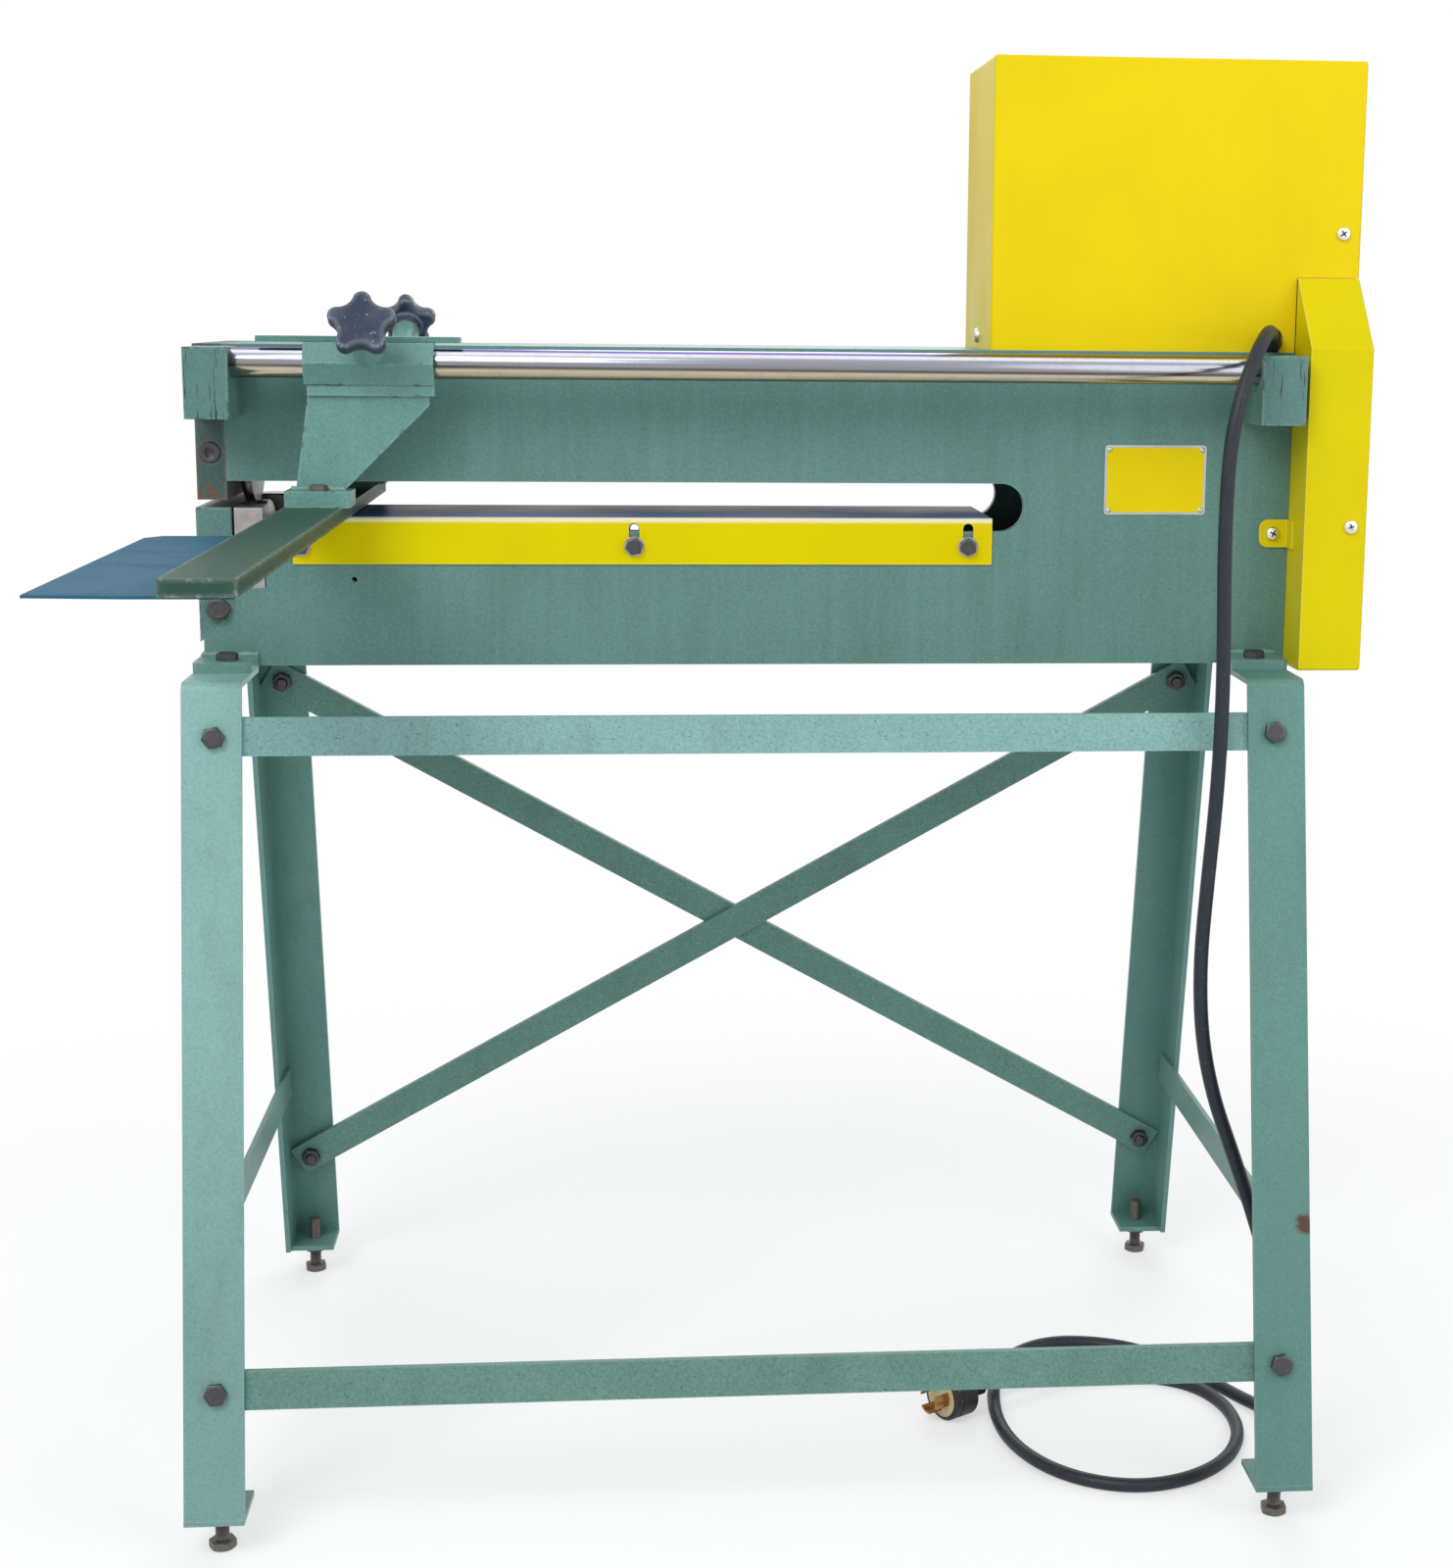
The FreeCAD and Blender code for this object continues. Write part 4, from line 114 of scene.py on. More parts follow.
class Graph:
    """Adds and joins the nodes of one shader tree."""

    def __init__(self, tree: bpy.types.NodeTree) -> None:
        """Keep the tree that nodes are added to."""
        self.tree = tree

    @classmethod
    def of(cls, owner: bpy.types.ID) -> "Graph":
        """Empty the tree of a material or a world.

        Args:
            owner: The material or the world.

        Returns:
            The tree's graph.
        """
        owner.use_nodes = True
        owner.node_tree.nodes.clear()
        return cls(owner.node_tree)

    def add(self, kind: str, inputs: dict | None = None, **settings: object) -> Node:
        """Add one node.

        Args:
            kind: Node type without its ShaderNode prefix.
            inputs: Values or sockets by input name or number.
            settings: The node's own settings.

        Returns:
            The new node.
        """
        node = self.tree.nodes.new("ShaderNode" + kind)
        for name, value in settings.items():
            setattr(node, name, value)
        self.fill(node, inputs or {})
        return node

    def fill(self, node: Node, inputs: dict) -> None:
        """Set a node's inputs to values or join them to sockets.

        Args:
            node: The node.
            inputs: Values or sockets by input name or number.
        """
        for key, value in inputs.items():
            if isinstance(value, Wire):
                self.tree.links.new(value, node.inputs[key])
            else:
                node.inputs[key].default_value = value

    def math(self, operation: str, *values: object) -> Wire:
        """Result of one sum on numbers or sockets."""
        return self.add("Math", dict(enumerate(values)), operation=operation).outputs[0]

    def times(self, first: object, second: object) -> Wire:
        """Product of two numbers or sockets."""
        return self.math("MULTIPLY", first, second)

    def less(self, first: object, second: object) -> Wire:
        """A number or socket less another."""
        return self.math("SUBTRACT", first, second)

    def step(self, value: object, factor: object, start: object) -> Wire:
        """A start plus a value times a factor."""
        return self.math("MULTIPLY_ADD", value, factor, start)

    def axis(self, vector: Wire, name: str) -> Wire:
        """One axis of a vector."""
        return self.add("SeparateXYZ", {0: vector}).outputs[name]

    def blend(self, mask: object, first: object, second: object) -> Wire:
        """Mix two colours, with as much of the second as the mask says."""
        return self.add("Mix", {0: mask, 6: first, 7: second}, data_type="RGBA").outputs[2]

    def brighten(self, colour: object, factor: object) -> Wire:
        """Multiply a colour by a number."""
        colour = colour if isinstance(colour, Wire) else colour[:3]
        return self.add("VectorMath", {0: colour, "Scale": factor}, operation="SCALE").outputs[0]

    def ramp(self, value: object, low: float, high: float, first: float = 0.0,
             last: float = 1.0) -> Wire:
        """Carry a value's span from low to high smoothly over to first and last, clamped."""
        return self.add("MapRange", {0: value, 1: low, 2: high, 3: first, 4: last},
                        interpolation_type="SMOOTHSTEP").outputs[0]

    def noise(self, vector: Wire, scale: object, detail: float = 3.0, roughness: float = 0.55,
              stretch: Triple = EVEN) -> Wire:
        """Noise value at a vector.

        Args:
            vector: Position.
            scale: Features to the metre, roughly.
            detail: Octaves.
            roughness: Weight of the finer octaves.
            stretch: Factor on each axis; a small one draws the noise out along that axis.

        Returns:
            The value's socket.
        """
        if stretch != EVEN:
            vector = self.add("Mapping", {"Vector": vector, "Scale": stretch}).outputs[0]
        return self.add("TexNoise", {"Vector": vector, "Scale": scale, "Detail": detail,
                                     "Roughness": roughness}).outputs["Fac"]


class Socket(Enum):
    """Kinds of socket that a shared shader group shows."""

    NUMBER = "NodeSocketFloat"
    COLOUR = "NodeSocketColor"
    VECTOR = "NodeSocketVector"


class SharedGroup:
    """A shader node group that several finishes place, each with its own values.

    Attributes:
        name: The group's name.
        inputs: Name, kind and usual value of each input beside the position.
        outputs: Name and kind of each output.
    """

    name = ""
    inputs: tuple[tuple[str, Socket, object], ...] = ()
    outputs: tuple[tuple[str, Socket], ...] = ()

    @classmethod
    def tree(cls) -> bpy.types.NodeTree:
        """Return the group, built on its first use."""
        found = bpy.data.node_groups.get(cls.name)
        if found:
            return found
        tree = bpy.data.node_groups.new(cls.name, "ShaderNodeTree")
        show = tree.interface.new_socket
        for name, kind, value in (("Position", Socket.VECTOR, (0, 0, 0)), *cls.inputs):
            show(name, in_out="INPUT", socket_type=kind.value).default_value = value
        for name, kind in cls.outputs:
            show(name, in_out="OUTPUT", socket_type=kind.value)
        given = tree.nodes.new("NodeGroupInput").outputs
        wanted = tree.nodes.new("NodeGroupOutput").inputs
        for name, socket in cls.wire(Graph(tree), given["Position"], given).items():
            tree.links.new(socket, wanted[name])
        return tree

    @classmethod
    def wire(cls, graph: Graph, place: Wire, given: Given) -> Wires:
        """Build the inside of the group.

        Args:
            graph: The group's own tree.
            place: Socket of the position.
            given: Sockets of all inputs.

        Returns:
            A socket for each of the group's outputs, by name.
        """
        raise NotImplementedError

    @classmethod
    def place(cls, graph: Graph, position: Wire, **inputs: object) -> Given:
        """Put the group into a finish.

        Args:
            graph: The finish's tree.
            position: Socket of the position on the object.
            inputs: Values or sockets by input name, in lower case.

        Returns:
            The placed group's outputs.
        """
        values = {name.capitalize(): value for name, value in inputs.items()}
        values["Position"] = position
        return graph.add("Group", values, node_tree=cls.tree()).outputs


class EdgeWear(SharedGroup):
    """Masks of a piece's chipped edges and of its whole edges."""

    name = "Edge wear"
    inputs = (("Reach", Socket.NUMBER, 0.002), ("Amount", Socket.NUMBER, 0.5))
    outputs = (("Mask", Socket.NUMBER), ("Edge", Socket.NUMBER))

    @classmethod
    def wire(cls, graph: Graph, place: Wire, given: Given) -> Wires:
        """Compare the rounded normal with the flat one and break the result up."""
        rounded = graph.add("Bevel", {"Radius": given["Reach"]}, samples=3).outputs[0]
        flat = graph.add("NewGeometry").outputs["Normal"]
        agree = graph.add("VectorMath", {0: rounded, 1: flat}, operation="DOT_PRODUCT")
        edge = graph.ramp(graph.less(1.0, agree.outputs["Value"]), 0.01, 0.14)
        limit = graph.less(0.80, graph.times(given["Amount"], 0.42))
        chips = graph.less(graph.noise(place, 90.0, 6.0, 0.7), limit)
        return {"Mask": graph.times(edge, graph.ramp(chips, 0.0, 0.04)), "Edge": edge}


class HammerEnamel(SharedGroup):
    """Mottled colour, gloss and dimples of hammered enamel."""

    name = "Hammered enamel"
    inputs = (("Color", Socket.COLOUR, (0.2, 0.3, 0.3, 1)), ("Cells", Socket.NUMBER, 640.0),
              ("Mottle", Socket.NUMBER, 0.35), ("Speckle", Socket.NUMBER, 0.3),
              ("Streaks", Socket.NUMBER, 0.0))
    outputs = (("Color", Socket.COLOUR), ("Roughness", Socket.NUMBER), ("Height", Socket.NUMBER))

    @classmethod
    def wire(cls, graph: Graph, place: Wire, given: Given) -> Wires:
        """Join cells, cloudy mottling, upright streaks and dark pinholes."""
        cells = graph.add("TexVoronoi", {"Vector": place, "Scale": given["Cells"]},
                          feature="SMOOTH_F1").outputs["Distance"]
        height = graph.ramp(cells, 0.05, 0.75)
        fine = graph.noise(place, 310.0, 4.0, 0.65)
        tone = graph.times(graph.less(fine, 0.5), 2.2)
        tone = graph.step(graph.less(height, 0.4), -0.7, tone)
        tone = graph.step(graph.less(graph.noise(place, 9.0, 3.0), 0.5), 0.9, tone)
        streak = graph.less(graph.noise(place, 1.0, 4.0, 0.6, (90.0, 90.0, 2.5)), 0.5)
        factor = graph.step(tone, given["Mottle"], graph.step(streak, given["Streaks"], 1.0))
        holes = graph.ramp(graph.noise(place, 480.0, 2.0, 0.5), 0.63, 0.72)
        factor = graph.times(factor, graph.less(1.0, graph.times(holes, given["Speckle"])))
        pale = graph.ramp(graph.noise(place, 390.0, 2.0, 0.5), 0.66, 0.78, 0.0, 0.16)
        colour = graph.blend(graph.times(pale, given["Mottle"]),
                             graph.brighten(given["Color"], factor), DUST_GREEN)
        return {"Color": colour, "Roughness": graph.step(fine, 0.26, 0.26), "Height": height}


class Grime(SharedGroup):
    """Thin dirt that dulls a colour in patches and runs."""

    name = "Grime"
    inputs = (("Color", Socket.COLOUR, WHITE), ("Dirt", Socket.COLOUR, (0.05, 0.045, 0.03, 1)),
              ("Amount", Socket.NUMBER, 0.2))
    outputs = (("Color", Socket.COLOUR),)

    @classmethod
    def wire(cls, graph: Graph, place: Wire, given: Given) -> Wires:
        """Draw noise out downwards and lay the dirt through it."""
        patches = graph.ramp(graph.noise(place, 24.0, 8.0, 0.7, (1.0, 1.0, 0.25)), 0.45, 0.75)
        mask = graph.times(patches, given["Amount"])
        return {"Color": graph.blend(mask, given["Color"], given["Dirt"])}


class RustBand(SharedGroup):
    """Rust that fades out between two heights, broken up by noise."""

    name = "Rust band"
    inputs = (("Low", Socket.NUMBER, 0.0), ("High", Socket.NUMBER, 0.1),
              ("Amount", Socket.NUMBER, 0.5))
    outputs = (("Mask", Socket.NUMBER), ("Color", Socket.COLOUR))

    @classmethod
    def wire(cls, graph: Graph, place: Wire, given: Given) -> Wires:
        """Fade the rust from the low height to the high one."""
        fade = graph.add("MapRange", {0: graph.axis(place, "Z"), 1: given["Low"],
                                      2: given["High"], 3: 1.0, 4: 0.0}).outputs[0]
        reach = graph.step(fade, given["Amount"], graph.noise(place, 120.0, 8.0, 0.7))
        colour = graph.blend(graph.noise(place, 420.0, 4.0), RUST_DARK, RUST_PALE)
        return {"Mask": graph.ramp(reach, 0.80, 0.94), "Color": colour}


class Scratches(SharedGroup):
    """Mask of thin upright scratches."""

    name = "Scratches"
    inputs = (("Amount", Socket.NUMBER, 0.5),)
    outputs = (("Mask", Socket.NUMBER),)

    @classmethod
    def wire(cls, graph: Graph, place: Wire, given: Given) -> Wires:
        """Cut fine noise, drawn out upwards, down to its peaks."""
        lines = graph.noise(place, 1.0, 3.0, 0.6, (420.0, 420.0, 28.0))
        limit = graph.step(given["Amount"], -0.22, 0.80)
        return {"Mask": graph.ramp(graph.less(lines, limit), 0.0, 0.04)}


# Finishes


@dataclass(frozen=True)
class Finish:
    """A material: its name and how its shader is put together.

    Attributes:
        name: The material's name.
        gloss: The shader's specular level.
        relief: Strength of the surface's relief and its depth in metres.
    """

    name: str
    gloss: float = field(default=0.3, kw_only=True)
    relief: tuple[float, float] = field(default=(0.1, 0.0001), kw_only=True)

    def make(self) -> bpy.types.Material:
        """Return the material, built on its first use."""
        found = bpy.data.materials.get(self.name)
        if found:
            return found
        material = bpy.data.materials.new(self.name)
        graph = Graph.of(material)
        shader = graph.add("BsdfPrincipled")
        graph.add("OutputMaterial", {0: shader.outputs[0]})
        self.dress(graph, shader, graph.add("TexCoord").outputs["Object"])
        return material

    def dress(self, graph: Graph, shader: Node, place: Wire) -> None:
        """Set the shader's values and join its nodes.

        Args:
            graph: The material's tree.
            shader: The principled shader.
            place: Socket with the position on the object.
        """
        raise NotImplementedError

    def cover(self, graph: Graph, shader: Node, colour: Wire, roughness: Wire,
              height: Wire) -> None:
        """Feed the shader what all finishes have.

        Args:
            graph: The material's tree.
            shader: The principled shader.
            colour: Socket of the colour.
            roughness: Socket of the roughness.
            height: Socket that raises the surface.
        """
        strength, depth = self.relief
        bump = graph.add("Bump", {"Strength": strength, "Distance": depth, "Height": height})
        graph.fill(shader, {"Base Color": colour, "Roughness": roughness,
                            "Specular IOR Level": self.gloss, "Normal": bump.outputs[0]})


@dataclass(frozen=True)
class HammerPaint(Finish):
    """Green hammered enamel, chipped to dark metal on its edges.

    Attributes:
        fade: Two heights, and the colour's factor at the lower one.
        reach: Width of the worn edges.
        under: Colour of the bare places.
        rust: Lower and upper height of a band of rust, and its amount.
        spots: Places in millimetres and radii of single bare spots.
    """

    colour: Colour = (0.135, 0.275, 0.245, 1)
    cells: float = 800.0
    mottle: float = 0.3
    speckle: float = 0.2
    streaks: float = 0.0
    fade: Triple = (0.0, 1.0, 1.0)
    grime: float = 0.16
    wear: float = 0.35
    reach: float = 0.0016
    under: Colour = (0.045, 0.035, 0.028, 1)
    rust: Triple | None = None
    scratched: float = 0.0
    spots: tuple[Spot, ...] = ()
    relief: tuple[float, float] = field(default=(0.3, 0.0003), kw_only=True)

    def dress(self, graph: Graph, shader: Node, place: Wire) -> None:
        """Lay enamel, grime, a pale edge line that is partly rubbed paint and partly a painted
        highlight, scratches, chips and any band of rust over each other.
        """
        low, high, factor = self.fade
        level = graph.ramp(graph.axis(place, "Z"), low, high, factor, 1.0)
        enamel = HammerEnamel.place(
            graph, place, color=graph.brighten(self.colour, level), cells=self.cells,
            mottle=self.mottle, speckle=self.speckle, streaks=self.streaks)
        grime = Grime.place(graph, place, color=enamel["Color"], amount=self.grime)
        wear = EdgeWear.place(graph, place, reach=self.reach, amount=self.wear)
        # Every edge turns a little paler: partly rubbed paint, partly a painted highlight.
        colour = graph.blend(graph.times(wear["Edge"], 0.22), grime["Color"], RUBBED_AND_HIGHLIGHT_GREEN)
        if self.scratched:
            lines = Scratches.place(graph, place, amount=self.scratched)
            colour = graph.blend(lines["Mask"], colour, SCRATCH)
        colour = graph.blend(wear["Mask"], colour, self.under)
        for x, y, z, radius in self.spots:
            away = graph.add("VectorMath", {0: place, 1: from_stand(x, y, z)},
                             operation="DISTANCE").outputs["Value"]
            size = radius * MM
            away = graph.step(graph.noise(place, 160.0, 5.0, 0.6), size, away)
            spot = graph.ramp(away, size * 0.95, size * 1.35, 1.0, 0.0)
            colour = graph.blend(spot, colour, self.under)
        if self.rust:
            low, high, amount = self.rust
            band = RustBand.place(graph, place, low=low, high=high, amount=amount)
            colour = graph.blend(band["Mask"], colour, band["Color"])
        self.cover(graph, shader, colour, enamel["Roughness"], enamel["Height"])


@dataclass(frozen=True)
class GlossPaint(Finish):
    """Smooth yellow enamel with small chips and scuffs.

    Attributes:
        edge_highlight: Strength of the painted highlight on the edges.
        shaded_from: Place towards the back in millimetres from which the sheet's top is coloured
            with painted shade and a painted blue sky reflection.
        fold_height: Height of the fold in millimetres, along which a painted highlight runs.
    """

    colour: Colour = (0.92, 0.70, 0.006, 1)
    wear: float = 0.22
    under: Colour = (0.30, 0.27, 0.18, 1)
    edge_highlight: float = 0.3
    reach: float = 0.0016
    shaded_from: float | None = None
    fold_height: float = 0.0
    gloss: float = field(default=0.09, kw_only=True)
    relief: tuple[float, float] = field(default=(0.1, 0.0002), kw_only=True)

    def dress(self, graph: Graph, shader: Node, place: Wire) -> None:
        """Lay faint clouds, dirt, painted highlights along the folds and edges, any painted
        shade on the top behind a fold and chips over the enamel.
        """
        cloud = graph.noise(place, 6.0, 2.0)
        colour = graph.brighten(self.colour, graph.ramp(cloud, 0.3, 0.75, 1.03, 0.96))
        grime = Grime.place(graph, place, color=colour, dirt=YELLOW_DIRT, amount=0.07)
        scuffs = graph.ramp(graph.noise(place, 60.0, 9.0, 0.78), 0.745, 0.77, 0.0, 0.6)
        colour = graph.blend(scuffs, grime["Color"], YELLOW_SCUFF)
        wear = EdgeWear.place(graph, place, reach=self.reach, amount=self.wear)
        if self.shaded_from is not None:
            top = self.fold_height * MM
            # Painted highlight: a pale line just under the top of the fold.
            line = graph.ramp(graph.axis(place, "Z"), top - 0.0055, top - 0.0025, 0.0, 0.85)
            colour = graph.blend(line, colour, PAINTED_FOLD_HIGHLIGHT)
            # Painted shade: behind the fold the top turns dark blue, standing in for shade and
            # the sky mirrored in it.
            back = graph.step(graph.noise(place, 30.0), 0.002, graph.axis(place, "Y"))
            limit = from_stand(0, self.shaded_from, 0).y
            shade_and_sky = graph.blend(graph.noise(place, 20.0, 4.0, 0.6, (0.3, 1.0, 1.0)),
                                PAINTED_SHADE_DARK_BLUE, PAINTED_SHADE_PALE_BLUE)
            colour = graph.blend(graph.ramp(back, limit, limit + 0.002), colour, shade_and_sky)
        # Painted highlight: every edge turns pale, as much as fold says.
        colour = graph.blend(graph.times(wear["Edge"], self.edge_highlight), colour, PAINTED_EDGE_HIGHLIGHT)
        colour = graph.blend(wear["Mask"], colour, self.under)
        self.cover(graph, shader, colour, graph.ramp(cloud, 0.3, 0.8, 0.30, 0.42),
                   graph.noise(place, 420.0, 2.0))


@dataclass(frozen=True)
class Metal(Finish):
    """Bare or plated metal, with its own stains and machining marks, and where given a painted
    reflection.

    Attributes:
        scale: Stains to the metre, roughly.
        grain: Stretch of the machining marks on each axis.
        painted_reflection: Painted reflection: colours by the way that the surface faces, from 0
            down to 1 up, standing in for the surroundings mirrored in the metal; ends first.
    """

    colour: Colour = (0.56, 0.55, 0.53, 1)
    roughness: float = 0.32
    metallic: float = 1.0
    stain: Colour = (0.12, 0.09, 0.06, 1)
    stained: float = 0.4
    scale: float = 70.0
    grain: Triple = EVEN
    painted_reflection: tuple[tuple[float, Colour], ...] = ()
    relief: tuple[float, float] = field(default=(0.12, 0.0001), kw_only=True)

    def dress(self, graph: Graph, shader: Node, place: Wire) -> None:
        """Stain the metal in patches, paint reflection bands by the way it faces and draw its
        grain.
        """
        colour: object = self.colour
        # Painted reflection: bands of colour by how far the surface faces up stand in for the
        # surroundings mirrored in the metal.
        if self.painted_reflection:
            up = graph.axis(graph.add("NewGeometry").outputs["Normal"], "Z")
            reflection_bands = graph.add("ValToRGB", {0: graph.step(up, 0.5, 0.5)})
            stops = reflection_bands.color_ramp.elements
            for number, (level, tint) in enumerate(self.painted_reflection):
                stop = stops[number] if number < 2 else stops.new(level)
                stop.position, stop.color = level, tint
            colour = reflection_bands.outputs[0]
        patches = graph.ramp(graph.noise(place, self.scale, 8.0, 0.7), 0.42, 0.75)
        mask = graph.times(patches, self.stained)
        grain = graph.noise(place, 900.0, 2.0, 0.55, self.grain)
        rough = graph.step(mask, 0.25, graph.step(grain, 0.12, self.roughness - 0.06))
        graph.fill(shader, {"Metallic": graph.step(mask, -0.5, self.metallic)})
        self.cover(graph, shader, graph.blend(mask, colour, self.stain), rough, grain)


@dataclass(frozen=True)
class Moulded(Finish):
    """Plastic or rubber with a fine skin, dust specks and a painted highlight on its edges.

    Attributes:
        rim: Strength of the painted highlight on the edges, in the dust's colour.
        rim_highlight_reach: Width of that painted highlight.
    """

    colour: Colour = (0.022, 0.023, 0.028, 1)
    roughness: float = 0.35
    dust: Colour = (0.34, 0.35, 0.36, 1)
    dusty: float = 0.4
    rim: float = 0.0
    rim_highlight_reach: float = 0.005

    def dress(self, graph: Graph, shader: Node, place: Wire) -> None:
        """Scatter dust over the moulded skin and paint a highlight on its edges."""
        specks = graph.ramp(graph.noise(place, 260.0, 4.0, 0.6), 0.635, 0.69)
        haze = graph.ramp(graph.noise(place, 45.0, 5.0), 0.42, 0.8)
        mask = graph.times(graph.step(haze, 0.2, specks), self.dusty)
        colour: object = self.colour
        # Painted highlight: the edges take on the dust's colour.
        if self.rim:
            wear = EdgeWear.place(graph, place, reach=self.rim_highlight_reach, amount=0.0)
            colour = graph.blend(graph.times(wear["Edge"], self.rim), colour, self.dust)
        self.cover(graph, shader, graph.blend(mask, colour, self.dust),
                   graph.step(haze, 0.15, self.roughness), graph.noise(place, 1200.0, 2.0))


BARE_STEEL = Metal("Machined steel", (0.40, 0.39, 0.38, 1), grain=(1.0, 1.0, 0.1))
BLACK_STEEL = Metal("Blackened fasteners", (0.085, 0.086, 0.092, 1), 0.36, metallic=0.8,
                    stain=(0.05, 0.035, 0.028, 1), stained=0.5, scale=240.0)
RUSTY_STEEL = Metal("Rust-brown fasteners", (0.17, 0.155, 0.14, 1), 0.45, metallic=0.6,
                    stain=(0.13, 0.08, 0.055, 1), stained=0.5, scale=260.0)
ZINC = Metal("Zinc plate", (0.80, 0.79, 0.72, 1), 0.26, stain=(0.3, 0.27, 0.18, 1),
             stained=0.25, scale=200.0)
BRASS = Metal("Brass blades", (0.42, 0.23, 0.08, 1), 0.3, stained=0.35)
PLATE_SILVER = Metal("Nameplate aluminium", (0.50, 0.52, 0.50, 1), 0.34, stained=0.15)
PRINTED_YELLOW = GlossPaint("Nameplate field", (0.88, 0.68, 0.004, 1), wear=0.0, edge_highlight=0.0)
WELD = HammerPaint("Weld bead under paint", (0.21, 0.38, 0.345, 1), wear=0.2, speckle=0.1,
                   mottle=0.15, gloss=0.8)
CORD_BLACK = Moulded("Cord rubber", (0.020, 0.026, 0.036, 1), 0.4, dusty=0.12)
PLUG_BLACK = Moulded("Plug body", (0.018, 0.017, 0.020, 1), 0.45)
PLUG_FACE = Moulded("Plug face", (0.72, 0.60, 0.34, 1), 0.3, dust=(0.25, 0.14, 0.05, 1))
LEGS = {"wear": 0.3, "mottle": 0.2, "speckle": 0.1}


@dataclass(frozen=True)
class Dressing:
    """What a set of CAD pieces is finished with.

    Attributes:
        edge: Width in millimetres of the rounding on their edges; none if 0.
        names: The CAD pieces.
        finish: The material.
    """

    edge: float
    names: tuple[str, ...]
    finish: Finish


